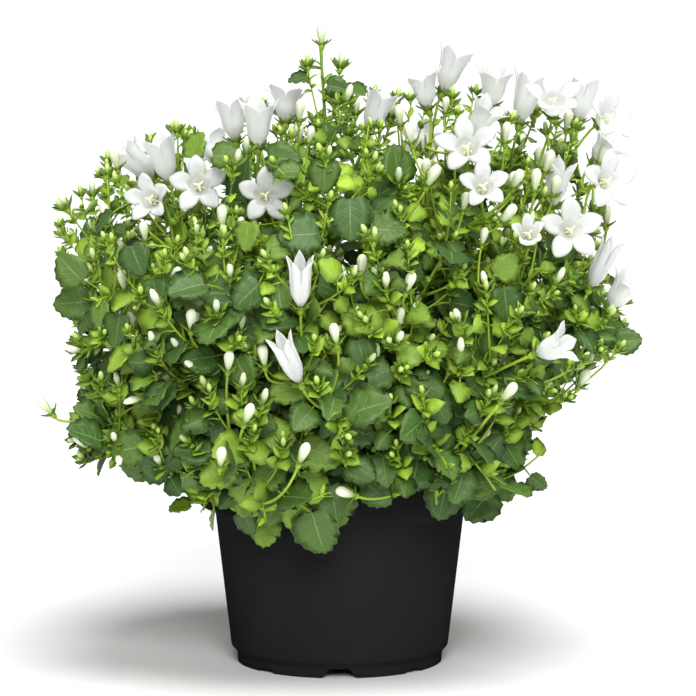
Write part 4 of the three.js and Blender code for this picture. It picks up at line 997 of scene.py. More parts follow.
def add_leaves(piece, form, leaves, sides, steps):
    """Full leaves: a thin petiole that arches from its stem to the blade, and the toothed blade."""
    root, base, forward, normal = each(leaves, "root", "base", "forward", "normal")
    scale, age = each(leaves, "scale", "age")
    luck = chance.uniform(0, 1, (len(leaves), 3))
    growth = np.stack([np.clip(age, 0, 1), luck[:, 0], 0 * age], -1)
    length = LEAF.length * scale
    b, p = BLADE_LUCK, PETIOLE
    width = LEAF.width * scale * (b.width[0] + b.width[1] * luck[:, 1])
    fold = LEAF.fold + b.fold * (luck[:, 2] - 0.5)
    droop = LEAF.droop * scale * (b.droop[0] + b.droop[1] * luck[:, 0])
    wave = b.wave[0] + b.wave[1] * luck[:, 1]
    add_blades(piece, form, base, forward, normal, length, width, fold, droop, LEAF_BLADE, growth, wave)
    sink = base + forward * length[:, None] * p.under - normal * p.deep
    control = (root + sink) / 2 + UP * (p.arch * np.linalg.norm(sink - root, axis=1))[:, None]
    start_radius = p.start * (p.grows[0] + p.grows[1] * scale)
    growth[:, 0] *= p.age
    add_tubes(piece, np.stack([root, control, sink], 1), start_radius, p.end, steps, sides, STEM,
              growth[:, None], p.flare)


def add_young(piece, leaves):
    """Young leaves: narrow or broad blades that sit on their stem without a petiole."""
    base, forward, normal = each(leaves, "base", "forward", "normal")
    scale, age, breadth = each(leaves, "scale", "age", "breadth")
    growth = np.stack([age, chance.uniform(0, 1, len(leaves)), 0 * age], -1)
    width = YOUNG.width * YOUNG.drawn_wider * scale * breadth
    add_blades(piece, BRACT_FORM, base, forward, normal, YOUNG.length * scale, width,
               YOUNG.fold, YOUNG.droop, LEAF_BLADE, growth)


def square_frames(axes):
    """For each axis a side, square to it and nearest to the wish, and the other side square to both."""
    side = unit(WISH - axes * (axes @ WISH)[:, None])
    return side, np.cross(axes, side)


def add_turned(piece, seats, axes, profile, size, sides, ridges, depth, finish, growth, twist=0.0):
    """Bodies turned about axes: ring k has a radius and a height from the profile, times the two sizes of
    its copy, and the radius swings by the depth as the cosine of the ridges' number times the angle."""
    side, other = square_frames(axes)
    radius, height = np.array(profile, float)[1:-1].T
    angle = turns(sides)
    swing = 1 + depth * np.cos(ridges * angle)
    turn = angle[None] + twist * np.arange(len(radius))[:, None]
    r = size[:, :1, None] * radius[:, None] * swing
    lift = (size[:, 1:] * height)[:, :, None, None] * axes[:, None, None]
    rings = seats[:, None, None] + r[..., None] * spokes(side[:, None], other[:, None], turn) + lift
    ends = [seats + (size[:, 1:] * profile[k][1]) * axes for k in (0, -1)]
    way, ridge = np.linspace(0, 1, len(radius))[:, None], 0.5 + 0.5 * np.cos(ridges * angle)
    values = np.stack(np.broadcast_arrays(growth[:, 0, None, None], way, ridge), -1)
    add_rings(piece, rings, ends[0], ends[1], finish, values)


CUP = [(0, -3.0), (0.85, -2.8), (1.35, -1.9), (1.6, -0.8), (1.55, 0.1), (1.0, 0.5), (0, 0.55)]
SMALL_CUP = [(0, -3.0), (0.8, -2.6), (1.6, -0.2), (0, 0.5)]
SMALL_CALYX = Sizes(reach=6.6, rise=4.6, sepal_width=7.5)
SEPAL = Sizes(foot=1.2, fold=0.15, droop=-0.6)
CUP_RIB = 0.07
BUD_RIDGES = Sizes(count=5, depth=0.08, twist=0.07)
# How old the bars look, from lime at 0 to olive at 0.7 and more, and a shoot's share of its stem's age
STEM_AGE = Sizes(stem=0.6, shoot_share=0.7, stalk=0.35, twig=0.3, bud_stalk=0.2)
# Bars: radius at the start and the end, steps along, sides round, and how much wider the start flares
BARS = dict(foot=(1.3, 1.25, 3, 9, 0), stem=(1.25, 0.6, 26, 9, 0), shoot=(0.8, 0.48, 14, 7, 0.35),
            twig=(0.58, 0.36, 4, 4, 0.45), pale_stalk=(0.55, 0.5, 7, 5, 0.4), stalk=(0.62, 0.6, 9, 6, 0.4),
            bud_stalk=(0.42, 0.36, 2, 3, 0.3))
# A stem's foot in the soil, as heights beside its root
FOOT = (-9, -4, 0.5)
# Buds at plain places and buds of the solids, beside BUD: their length and radius, how ripe they are, and
# their sides. Small buds: length, radius, what ripening adds to the length, and their stalk's foot and sag
PALE_BUD = Sizes(length=1.08, ripe=(0.6, 0.95), sides=10)
SEATED_BUD = Sizes(length=(0.94, 1.08), radius=0.95, ripe=(0.65, 1), sides=15)
SMALL_BUD = Sizes(length=10, radius=1.85, ripening=(0.7, 0.35), foot=1.6, sag=1.2, sides=6)
# Calyces: the sepals' form, the cup's profile and sides, and the sepals' sizes
CALYCES = dict(full=(SEPAL_FORM, CUP, 10, CALYX), small=(SMALL_SEPAL_FORM, SMALL_CUP, 5, SMALL_CALYX))


def add_calyces(piece, kind, seats, axes, size):
    """Calyces: a ribbed cup below the seat, and five narrow sepals that spread from its edge."""
    form, cup, sides, sepals = CALYCES[kind]
    copies, count = len(seats), CALYX.sepals
    reach, rise = sepals.reach - SEPAL.foot, sepals.rise
    growth = np.full((copies, 3), STEM_AGE.stalk)
    add_turned(piece, seats, axes, cup, np.stack([size, size], -1), sides, count, CUP_RIB, STEM,
               growth)
    spoke = spokes(*square_frames(axes), turns(count))
    forward = unit(spoke * reach + axes[:, None] * rise)
    normal = unit(axes[:, None] - forward * (forward * axes[:, None]).sum(-1, keepdims=True))
    base = seats[:, None] + spoke * SEPAL.foot * size[:, None, None]
    length = np.repeat(np.hypot(reach, rise) * size, count)
    add_blades(piece, form, base.reshape(-1, 3), forward.reshape(-1, 3), normal.reshape(-1, 3), length,
               sepals.sepal_width * np.repeat(size, count), SEPAL.fold, SEPAL.droop, STEM,
               own_luck(1.0, copies * count)[:, 0])


BUD_PROFILE = [(0, 0), (0.42, 0.01), (0.55, 0.15), (0.74, 0.34), (0.93, 0.54), (1, 0.7), (0.9, 0.84),
               (0.62, 0.94), (0.28, 0.985), (0, 1)]
SMALL_BUD_PROFILE = [(0, 0), (0.6, 0.1), (1, 0.6), (0.66, 0.88), (0, 1)]


def add_buds(piece, seats, axes, profile, length, radius, ripe, sides):
    """Closed buds: spindles with five soft ridges, twisted a little."""
    growth = np.stack([ripe, ripe, ripe], -1)
    size = np.stack([radius, length], -1)
    add_turned(piece, seats, axes, profile, size, sides, BUD_RIDGES.count, BUD_RIDGES.depth, BUD_SKIN, growth,
               BUD_RIDGES.twist)


def own_luck(age, copies):
    """Growth values of bars of one age, each bar with its own luck."""
    return np.stack([np.full(copies, age), chance.uniform(0, 1, copies), np.zeros(copies)], -1)[:, None]


def add_bars(piece, kind, ends, growth):
    """Stems or stalks of one kind, with the sizes that BARS gives them."""
    start_radius, end_radius, steps, sides, flare = BARS[kind]
    add_tubes(piece, ends, start_radius, end_radius, steps, sides, STEM, growth, flare)


def make_leafy_stem(number, stem, materials):
    """One leafy stem: its bars, its twigs and stalks, its leaves, its calyces and its buds."""
    piece = Piece()
    green = np.array([[[STEM_AGE.stem, 0.5, 0]]])
    main = stem["lines"][0].ends.copy()
    shoots, twigs = ([line.ends for line in group] for group in (stem["lines"][1:], stem["twigs"]))
    add_bars(piece, "foot", np.array([[main[0] + UP * height for height in FOOT]]), green)
    add_bars(piece, "stem", main[None], green)
    add_bars(piece, "shoot", shoots, green * STEM_AGE.shoot_share)
    if twigs:
        add_bars(piece, "twig", twigs, own_luck(STEM_AGE.twig, len(twigs)))
    if stem["pale_stalks"]:
        stalks = [line.ends for line in stem["pale_stalks"]]
        add_bars(piece, "pale_stalk", stalks, own_luck(STEM_AGE.twig, len(stalks)))
        seats, axes, size = each(stem["pale_buds"], 0, 1, 2)
        add_calyces(piece, "full", seats, axes, CALYX.bud_scale * size)
        add_buds(piece, seats, axes, BUD_PROFILE, PALE_BUD.length * BUD.length * size,
                 BUD.radius * size, chance.uniform(*PALE_BUD.ripe, len(seats)), PALE_BUD.sides)
    if stem["stalks"]:
        stalks = [line.ends for line in stem["stalks"]]
        add_bars(piece, "stalk", stalks, own_luck(STEM_AGE.stalk, len(stalks)))
        seats, axes, is_bud = each(stem["seats"], 0, 1, 2)
        add_calyces(piece, "full", seats, axes, np.where(is_bud, CALYX.bud_scale, 1.0))
        if is_bud.any():
            count = int(is_bud.sum())
            length = BUD.length * chance.uniform(*SEATED_BUD.length, count)
            radius = np.full(count, SEATED_BUD.radius * BUD.radius)
            add_buds(piece, seats[is_bud], axes[is_bud], BUD_PROFILE, length, radius,
                     chance.uniform(*SEATED_BUD.ripe, count), SEATED_BUD.sides)
    if stem["buds"]:
        root, seat, face, size, ripe = each(stem["buds"], "root", "seat", "face", "size", "ripe")
        foot = seat - face * (SMALL_BUD.foot * size)[:, None]
        control = (root + foot) / 2 - face * SMALL_BUD.sag
        stalks = np.stack([root, control, foot], 1)
        add_bars(piece, "bud_stalk", stalks, own_luck(STEM_AGE.bud_stalk, len(root)))
        add_calyces(piece, "small", seat, face, size)
        unripe, added = SMALL_BUD.ripening
        length = SMALL_BUD.length * size * (unripe + added * ripe)
        add_buds(piece, seat, face, SMALL_BUD_PROFILE, length, SMALL_BUD.radius * size, ripe,
                 SMALL_BUD.sides)
    if stem["leaves"]:
        add_leaves(piece, LEAF_FORM, stem["leaves"], sides=3, steps=4)
    if stem["small_leaves"]:
        add_leaves(piece, SMALL_LEAF_FORM, stem["small_leaves"], sides=3, steps=2)
    if stem["young"]:
        add_young(piece, stem["young"])
    return piece.make(f"stem_with_leaves_{number}", materials, [f"leafy_stem_{number}"])


# Flowers

# The corolla's rows as (share of the half width, added radius, height), as in the solids
CLOSED = dict(belly=(0.2, 2.3, 5.4), rim=(0.34, 2, 11.6), shoulder=(0.64, 0.6, 18.6), tip=(1, 0, 24.4))
STAR = dict(belly=(0.2, 2.3, 4.2), rim=(0.22, 2.4, 7.4), shoulder=(0.72, 0, 10), tip=(1, 0, 9.6))
# A lobe: how far its shoulder turns, closed and open, its swell, its widest place, the powers of its taper,
# the most that a row's half width takes of its radius, and the gap to the next lobe's tip
LOBE = Sizes(turn=(0.42, 0.3), swell=1.22, widest=0.42, taper=(1.9, 0.85), most=0.95, gap=0.14)
# Its play: the ridge, closed and with what opening adds, and the rows over which it rises; how far tips
# curl and sway by luck; how far its edges curl back; and the share of that which moves a closed one's radius
PLAY = Sizes(ridge=(0.10, -0.04), ridge_rows=5, curl=0.9, sway=0.03, edge_curl=(1.4, -0.4), closed=0.8)
# The net: lobes, rows and columns, and the wall's thickness in the bell and at the lobes' edges
COROLLA = Sizes(lobes=5, bell_rows=7, lobe_rows=9, columns=7, wall=0.4, edge=0.12)
# The style's radii, steps and sides, and those of its three stigmas and of the five stamens, which follow
# (height, distance from the axis): above the style's top for a stigma, above the base for a stamen
STYLE = (0.75, 0.5, 7, 8)
STIGMA = (0.5, 0.28, 6, 6)
STIGMA_PATH = [(-0.4, 0), (1.4, 0.9), (0.3, 2.3)]
STAMEN = (0.3, 0.42, 5, 5)
STAMEN_PATH = [(0.8, 1.2), (2.2, 2.1), (4.2, 1.3)]
PETAL, PISTIL = 0, 1
FLOWER_SEED = 900


def smooth_through(knots, t):
    """A Catmull-Rom curve through knots at 0, 1, 2 and so on, read at t."""
    knots = np.asarray(knots, float)
    padded = np.concatenate([2 * knots[:1] - knots[1:2], knots, 2 * knots[-1:] - knots[-2:-1]])
    k = np.clip(np.floor(t).astype(int), 0, len(knots) - 2)
    f = (t - k)[:, None]
    a, b, c, d = (padded[k + i] for i in range(4))
    return 0.5 * (2 * b + (c - a) * f + (2 * a - 5 * b + 4 * c - d) * f**2 + (3 * b - a - 3 * c + d) * f**3)


def corolla_rows(width, opened):
    """Radius and height of each row, from the base over belly, rim and shoulder to the lobes' tips, and the
    shoulders' radius."""
    knots = [(0.9, 0)]
    for name in ("belly", "rim", "shoulder", "tip"):
        share, added, height = (1 - opened) * np.array(CLOSED[name]) + opened * np.array(STAR[name])
        knots.append((share * width / 2 + added, height))
    bell = np.linspace(0, 2, COROLLA.bell_rows)
    lobe = np.linspace(2, 4, COROLLA.lobe_rows + 1)[1:]
    return *smooth_through(knots, np.concatenate([bell, lobe])).T, knots[3][0]


def half_turns(radius, shoulder, opened, lobe):
    """Half the angle that each row of a lobe spans. The rows of the bell meet the next lobe's. Past the rim
    the half width swells to its widest and runs to a point, and the angle is its arc sine over the radius."""
    whole = np.pi / COROLLA.lobes
    narrow = radius[COROLLA.bell_rows - 1] * np.sin(whole)
    closed_turn, open_turn = LOBE.turn
    turn = 2 * whole * (closed_turn + (open_turn - closed_turn) * opened)
    full = LOBE.swell * shoulder * np.sin(turn)
    half = narrow + (full - narrow) * np.sin(np.pi / 2 * np.minimum(lobe / LOBE.widest, 1))
    run, blunt = LOBE.taper
    half = half * (1 - share_between(lobe, (LOBE.widest, 1)) ** run) ** blunt
    reach = np.where(lobe > 0, np.arcsin(np.clip(half / radius, 0, LOBE.most)), whole)
    return np.minimum(reach, whole * (1 - LOBE.gap * lobe))


def corolla_walls(base, axis, side, other, width, opened, luck):
    """The outer and inner wall as grids of (lobe, row, column) points, and the rim's height. Rows turn about
    the axis with a soft ridge on each lobe. The lobes curl and sway a little, each with its own luck. The
    inner wall is the outer one moved along its normals."""
    lobes = COROLLA.lobes
    radius, height, shoulder = corolla_rows(width, opened)
    rows = len(radius)
    lobe = np.clip((np.arange(rows) - COROLLA.bell_rows + 1) / COROLLA.lobe_rows, 0, 1)
    v = np.linspace(-1, 1, COROLLA.columns)
    turn = turns(lobes)[:, None, None] + half_turns(radius, shoulder, opened, lobe)[:, None] * v
    lobe = lobe[:, None]
    ridge_depth, edge_curl = (closed + added * opened for closed, added in (PLAY.ridge, PLAY.edge_curl))
    rise = np.minimum(np.arange(rows) / PLAY.ridge_rows, 1)[:, None]
    ridge = 1 + ridge_depth * np.cos(np.pi * v) * rise
    ridge = np.where(lobe > 0, 1 + (ridge - 1) * (1 - lobe), ridge)
    curl = luck.normal(0, PLAY.curl, (lobes, 1, 1)) * lobe ** 2
    curl = curl - edge_curl * lobe ** 2 * v**2
    turn = turn + luck.normal(0, PLAY.sway, (lobes, 1, 1)) * lobe
    r = radius[:, None] * ridge + curl * (1 - opened) * PLAY.closed
    z = height[:, None] + curl * opened
    outer = base + spokes(side, other, turn) * r[..., None] + z[..., None] * axis

    cross = np.cross(np.gradient(outer, axis=1), np.gradient(outer, axis=2))
    normal = cross / np.maximum(np.linalg.norm(cross, axis=-1, keepdims=True), 1e-9)
    normal[:, -1] = normal[:, -2]
    edge_share = np.abs(v) ** 6 * (lobe > 0)
    wall = COROLLA.wall + (COROLLA.edge - COROLLA.wall) * edge_share
    row, middle = 2, len(v) // 2
    from_axis = outer[0, row, middle] - base - axis * height[row]
    inward = 1 if normal[0, row, middle] @ from_axis < 0 else -1
    return outer, outer + normal * wall[..., None] * inward, height[COROLLA.bell_rows - 1]


def corolla_net():
    """The numbers of one wall's vertices on its grid, of its lobes' tips, and of the point at its base. Rows
    of the bell close round a ring, so lobes share their outer columns there. Each lobe's rows are its own."""
    lobes, columns, rows_in_bell = COROLLA.lobes, COROLLA.columns, COROLLA.bell_rows
    rows_in_lobe = COROLLA.lobe_rows - 1
    ring = lobes * (columns - 1)
    net = np.zeros((lobes, rows_in_bell + rows_in_lobe, columns), int)
    k, j = np.arange(lobes)[:, None, None], np.arange(columns)
    net[:, :rows_in_bell] = np.arange(rows_in_bell)[:, None] * ring + (k * (columns - 1) + j) % ring
    m = np.arange(rows_in_lobe)[:, None]
    net[:, rows_in_bell:] = rows_in_bell * ring + (k * rows_in_lobe + m) * columns + j
    tips = rows_in_bell * ring + lobes * rows_in_lobe * columns + np.arange(lobes)
    return net, tips, tips[-1] + 1


def add_corolla(piece, outer, inner, feet):
    """A corolla from its two walls, which join round the rim and the lobes, with a foot point for each. Its
    growth values are the way from base to tip, the way out from a lobe's middle, and 1 inside."""
    net, tips, pole = corolla_net()
    lobes, rows, columns = outer.shape[:3]
    rows_in_bell = COROLLA.bell_rows
    size = pole + 1
    v = np.linspace(-1, 1, columns)
    way = np.arange(rows) / (rows - 1)
    points, values, spots = (np.zeros((2 * size, n)) for n in (3, 3, 2))
    for layer, skin in enumerate((outer, inner)):
        here = net + layer * size
        points[here] = skin[:, :-1]
        points[tips + layer * size] = skin[:, -1, columns // 2]
        points[pole + layer * size] = feet[layer]
        values[here, 0] = spots[here, 0] = way[:-1, None]
        values[here, 1] = np.abs(v)
        values[tips + layer * size] = (1, 0, 0)
        values[layer * size:(layer + 1) * size, 2] = layer
        spots[here, 1] = v
        spots[tips + layer * size] = (1, 0)
    quads = np.stack([net[:, :-1, :-1], net[:, :-1, 1:], net[:, 1:, 1:], net[:, 1:, :-1]], -1).reshape(-1, 4)
    point = np.broadcast_to(tips[:, None], (lobes, columns - 1))
    ends = np.stack([net[:, -1, :-1], net[:, -1, 1:], point], -1).reshape(-1, 3)
    first = net[:, 0]
    foot = np.stack([first[:, 1:], first[:, :-1], np.full((lobes, columns - 1), pole)], -1).reshape(-1, 3)
    rim = np.concatenate([net[:, rows_in_bell - 1:, 0], tips[:, None], net[:, :rows_in_bell - 2:-1, -1]], 1)
    edge = np.stack([rim[:, 1:], rim[:, :-1], rim[:, :-1] + size, rim[:, 1:] + size], -1).reshape(-1, 4)
    flip = [faces[:, ::-1] + size for faces in (quads, ends, foot)]
    piece.add(points[None], [quads, ends, foot, edge[:, ::-1], *flip], PETAL, spots, values)


def add_pistil(piece, base, axis, side, other, top):
    """The style up to a height, its three curved stigmas, and the five short stamens round its foot."""
    yellow = np.array([[[0.5, 0.5, 0.5]]])

    def curves(angle, path, above):
        out = spokes(side, other, angle)
        return np.stack([base + axis * (above + up) + out * far for up, far in path], 1)

    style = np.array([[base + axis * 0.4, base + axis * top * 0.5, base + axis * top]])
    add_tubes(piece, style, *STYLE, PISTIL, yellow)
    add_tubes(piece, curves(turns(3) + 0.4, STIGMA_PATH, top), *STIGMA, PISTIL, yellow)
    add_tubes(piece, curves(turns(5, 0.5), STAMEN_PATH, 0), *STAMEN, PISTIL, yellow * 0.3)


def make_flower(number, seat, face, width, opened, materials):
    """An open flower: its corolla and its pistil, on the calyx of its stem."""
    luck = np.random.default_rng(FLOWER_SEED + number)
    axis = unit(np.array(face, float))
    base = np.array(seat, float) + axis * (CALYX.crown + CALYX.gap)
    side = square_to(axis, WISH)
    other = np.cross(axis, side)
    outer, inner, rim_height = corolla_walls(base, axis, side, other, width, opened, luck)
    piece = Piece()
    add_corolla(piece, outer, inner, [base + axis * 0.1, base + axis * 0.6])
    add_pistil(piece, base, axis, side, other, rim_height * 0.95)
    return piece.make(f"bell_{number}", materials, [f"flower_{number}"])


# The pot and the soil


def rounded(profile, radius, steps=4):
    """A profile with each inner corner replaced by a short arc: a quadratic curve that touches both
    sides."""
    profile = np.array(profile, float)
    out = [profile[:1]]
    for before, corner, after in zip(profile[:-2], profile[1:-1], profile[2:]):
        room = min(radius, np.linalg.norm(before - corner) / 2.2, np.linalg.norm(after - corner) / 2.2)
        start = corner + unit(before - corner) * room
        end = corner + unit(after - corner) * room
        ends = np.array([np.append(start, 0), np.append(corner, 0), np.append(end, 0)])
        out.append(bezier(ends, np.linspace(0, 1, steps))[:, :2])
    return np.concatenate(out + [profile[-1:]])


def foot_gap(angle):
    """The height of the gap under the foot at an angle: a flared notch on each quarter, a shallow dip
    between two notches, and nothing under the blocks of the ring."""
    def profile(at, wide, narrow, height):
        offset = np.abs((angle - at + np.pi) % (2 * np.pi) - np.pi) * POT.foot
        return height * np.clip((wide / 2 - offset) / ((wide - narrow) / 2), 0, 1) ** NOTCH.flare

    gap = np.zeros_like(angle)
    for k in range(NOTCH.count):
        turn = 2 * np.pi * k / NOTCH.count
        gap = np.maximum(gap, profile(turn, NOTCH.bottom, NOTCH.top, NOTCH.height))
        between = turn + np.pi / NOTCH.count
        gap = np.maximum(gap, profile(between, NOTCH.dip_foot, NOTCH.dip_width, NOTCH.dip))
    return gap


NO_GROWTH = np.zeros((1, 1, 3))


def round_axis(radius, angle, z):
    """Points at a radius and angles about the upright axis, at a height."""
    return np.stack([radius * np.cos(angle), radius * np.sin(angle), z + 0 * angle], -1)


def add_round(piece, rings, low, high):
    """One closed body round the upright axis: its rings, and the heights of its first and last point."""
    ends = np.array([[0, 0, low], [0, 0, high]], float)
    add_rings(piece, rings[None], ends[:1], ends[1:], 0, NO_GROWTH)


def make_pot(material):
    """The pot: a rounded profile turned about its axis, whose foot rises over the notches, less the drain
    holes."""
    p, edge = POT, POT.edge
    floor = p.heel_height + p.floor
    ledge = p.collar_bottom - p.ledge_drop
    mouth = RIM_RADIUS - p.wall
    inner, recess = p.foot - p.ring, p.foot_height + 1
    over_gap = p.foot_height - p.wall
    under = [(p.middle, recess), (inner, recess), (inner, over_gap), (inner, edge), (inner + edge, 0.0),
             (p.foot - edge, 0.0), (p.foot, edge), (p.foot, over_gap)]
    upper = rounded([
        (p.foot, p.foot_height), (p.foot + 0.1, p.foot_height + 0.4),
        (p.heel, p.heel_height), (p.belly, p.belly_height),
        (p.neck, ledge), (RIM_RADIUS, p.collar_bottom),
        (RIM_RADIUS, RIM_TOP), (mouth, RIM_TOP), (mouth, p.collar_bottom + p.wall),
        (p.neck - p.wall, ledge + p.wall), (p.heel - p.wall, floor), (p.middle, floor)], p.corner)
    angle = turns(p.sides)
    gap = foot_gap(angle)
    rings = np.stack([round_axis(r, angle, np.maximum(z, gap)) for r, z in under]
                     + [round_axis(r, angle, z) for r, z in upper])
    piece = Piece()
    add_round(piece, rings, recess, floor)
    pot = piece.make("nursery_pot", [material], ["pot"])
    cutter = Piece()
    low = round_axis(DRAIN.ring, turns(DRAIN.count, 0.5), DRAIN.low)
    ends = np.stack([low + UP * DRAIN.height * share for share in (0, 0.5, 1)], 1)
    add_tubes(cutter, ends, DRAIN.radius, DRAIN.radius, 1, DRAIN.sides, 0, NO_GROWTH)
    drains = cutter.make("drain_cutter", [material])
    cut = pot.modifiers.new("drains", "BOOLEAN")
    cut.object = drains
    cut.solver = "EXACT"
    apply_modifiers(pot)
    bpy.data.objects.remove(drains)
    return pot


def apply_modifiers(piece):
    """Replaces a piece's mesh by what its modifiers make of it."""
    shape = piece.evaluated_get(bpy.context.evaluated_depsgraph_get())
    mesh = bpy.data.meshes.new_from_object(shape)
    piece.modifiers.clear()
    piece.data = mesh


def rolling(x, y):
    """The height of the soil's soft waves: the top plus a sine across times a cosine along."""
    height, across, along = SOIL.wave
    return SOIL_TOP + height * np.sin(x * across + 1) * np.cos(y * along)


def make_soil(material):
    """The root ball: a turned body whose top rolls in waves, is roughened by layers of crossed sines and
    carries loose crumbs."""
    edge, floor = SOIL_HIGH[0], SOIL_LOW[2]
    angle = turns(SOIL.sides)
    radius = np.linspace(edge, SOIL.middle, SOIL.rows)
    x, y = radius[:, None] * np.cos(angle), radius[:, None] * np.sin(angle)
    z = rolling(x, y)
    for wave, height in SOIL.noise:
        a, b = wave * x, wave * y
        z += height * np.sin(a + 2 * np.sin(b * 0.7)) * np.sin(b + 2 * np.sin(a * 0.6 + 1))
    top = np.stack([x, y, np.minimum(z, SOIL_HIGH[2] + SOIL.over)], -1)
    side = [(SOIL.foot, floor), *SOIL.wall, (edge, SOIL.shoulder)]
    wall = [round_axis(r, angle, height) for r, height in side]
    piece = Piece()
    add_round(piece, np.concatenate([np.array(wall), top]), floor, top[-1, :, 2].mean())
    count = CRUMBS.count
    place = chance.uniform(0, 1, (count, 2))
    r, a = CRUMBS.reach * np.sqrt(place[:, 0]), 2 * np.pi * place[:, 1]
    x, y = r * np.cos(a), r * np.sin(a)
    axes = unit(chance.normal(0, 1, (count, 3)))
    size = chance.uniform(*CRUMBS.size, (count, 1)) * (1, chance.uniform(*CRUMBS.height))
    add_turned(piece, np.stack([x, y, rolling(x, y)], -1), axes, CRUMB_PROFILE, size, CRUMBS.sides,
               CRUMBS.ridges, CRUMBS.depth, 0, np.zeros((count, 3)))
    return piece.make("root_ball", [material], ["soil"])


# Materials


# The tones of every surface, as screen values from 0 to 255
TONES = {
    "young leaf": (186, 226, 66), "old leaf": (56, 89, 37), "olive leaf": (119, 150, 42),
    "leaf patch": (63, 97, 34), "leaf rib": (168, 196, 128), "leaf vein": (150, 182, 108),
    "leaf edge": (150, 178, 112), "leaf underside": (136, 164, 104),
    "young stem": (194, 226, 68), "old stem": (138, 172, 38), "dark stem": (88, 120, 34),
    "stem patch": (92, 122, 40), "sepal tip": (60, 88, 32),
    "green bud": (190, 218, 94), "ripe bud": (246, 248, 232), "bud patch": (214, 224, 176),
    "foot of green bud": (150, 184, 62), "foot of ripe bud": (190, 212, 128),
    "petal": (241, 243, 242), "petal patch": (234, 238, 234), "petal vein": (218, 224, 216),
    # The tone towards a corolla's base: partly its own faint green tint and partly painted shade of the deep
    # bell
    "base_tint_and_painted_shade": (228, 234, 214), "stamen": (230, 230, 202), "style": (242, 243, 214),
    "style patch": (216, 216, 140), "plastic": (32, 32, 33), "dust": (39, 39, 40),
    "peat": (46, 32, 22), "fibre": (94, 70, 48),
}


def tone(name):
    """A tone as the linear values that a shader takes: screen values run in a short straight part, then as
    the power 2.4."""
    share = np.array(TONES[name]) / 255
    return (*np.where(share <= 0.04045, share / 12.92, ((share + 0.055) / 1.055) ** 2.4).tolist(), 1.0)


def node(tree, kind, inputs=None, **settings):
    """Adds a shader node, sets its settings, and fills each named or numbered input with a value or a
    link."""
    made = tree.nodes.new("ShaderNode" + kind)
    for name, value in settings.items():
        setattr(made, name, value)
    for name, value in (inputs or {}).items():
        if isinstance(value, bpy.types.NodeSocket):
            tree.links.new(value, made.inputs[name])
        else:
            made.inputs[name].default_value = value
    return made


def math(tree, operation, *values):
    """The output of a Math node."""
    return node(tree, "Math", dict(enumerate(values)), operation=operation).outputs[0]


def times(tree, first, second):
    """The product of two values."""
    return math(tree, "MULTIPLY", first, second)


def one_less(tree, value):
    """1 less a value."""
    return math(tree, "SUBTRACT", 1.0, value)


def blend(tree, share, first, second):
    """The colour between two colours at a share."""
    made = node(tree, "Mix", {0: share, 6: first, 7: second}, data_type="RGBA")
    return made.outputs[2]


def tinted(tree, colour, mask, share, name):
    """A colour shifted towards a tone by a share of a mask."""
    return blend(tree, times(tree, mask, share), colour, tone(name))


def ramp(tree, value, low, high):
    """A value taken from low..high to 0..1 along a soft S, and held there."""
    made = node(tree, "MapRange", {"Value": value, "From Min": low, "From Max": high},
                interpolation_type="SMOOTHSTEP")
    return made.outputs["Result"]


def new_group(name, sockets_in, sockets_out):
    """An empty shader node group with named sockets, what it takes in and what it puts out."""
    group = bpy.data.node_groups.new(name, "ShaderNodeTree")
    for title, kind, value in sockets_in:
        made = group.interface.new_socket(name=title, in_out="INPUT", socket_type=kind)
        if value is not None:
            made.default_value = value
    for title, kind in sockets_out:
        group.interface.new_socket(name=title, in_out="OUTPUT", socket_type=kind)
    taken, given = group.nodes.new("NodeGroupInput"), group.nodes.new("NodeGroupOutput")
    return group, taken.outputs, given.inputs


COLOUR, VALUE, VECTOR = "NodeSocketColor", "NodeSocketFloat", "NodeSocketVector"


def mottle_group():
    """Soft patches and fine grain: two layers of noise that shift a colour towards a second one."""
    group, taken, given = new_group(
        "mottle",
        [("Vector", VECTOR, None), ("Colour", COLOUR, (1, 1, 1, 1)), ("Second Colour", COLOUR, (0, 0, 0, 1)),
         ("Patch Scale", VALUE, 80.0), ("Grain Scale", VALUE, 900.0), ("Amount", VALUE, 0.5)],
        [("Colour", COLOUR), ("Grain", VALUE)])
    layers = [node(group, "TexNoise",
                   {"Vector": taken["Vector"], "Scale": taken[scale], "Detail": detail})
              for scale, detail in (("Patch Scale", 3.0), ("Grain Scale", 4.0))]
    patch, grain = (layer.outputs["Fac"] for layer in layers)
    both = math(group, "ADD", times(group, patch, 0.65), times(group, grain, 0.35))
    share = times(group, ramp(group, both, 0.3, 0.7), taken["Amount"])
    group.links.new(blend(group, share, taken["Colour"], taken["Second Colour"]), given["Colour"])
    group.links.new(grain, given["Grain"])
    return group


# Each surface: the tone that mottles it, the scales of its patches and of its grain and how much they show,
# its least roughness and what the grain adds, and the strength and the depth of its relief
SURFACES = {
    "leaf": ("leaf patch", 130.0, 1300.0, 0.3, 0.38, 0.2, 0.45, 0.0004),
    "stem_green": ("stem patch", 90.0, 1500.0, 0.4, 0.42, 0.2, 0.3, 0.0002),
    "bud": ("bud patch", 240.0, 1800.0, 0.15, 0.45, 0.15, 0.2, 0.0002),
    "petal": ("petal patch", 160.0, 1600.0, 0.35, 0.5, 0.15, 0.25, 0.0002),
    "pistil": ("style patch", 500.0, 2600.0, 0.4, 0.5, 0.2, 0.4, 0.0002),
    "pot_plastic": ("dust", 22.0, 700.0, 0.5, 0.6, 0.16, 0.12, 0.0002),
    "soil_peat": ("fibre", 160.0, 1100.0, 0.8, 0.75, 0.2, 0.9, 0.0012),
}


def mottled(tree, name, group, colour):
    """A surface's colour mottled with its second tone over the object, and the grain by itself."""
    second, patches, grains, amount = SURFACES[name][:4]
    place = node(tree, "TexCoord").outputs["Object"]
    made = node(tree, "Group", {"Vector": place, "Colour": colour, "Second Colour": tone(second),
                                "Patch Scale": patches, "Grain Scale": grains, "Amount": amount},
                node_tree=group)
    return made.outputs["Colour"], made.outputs["Grain"]


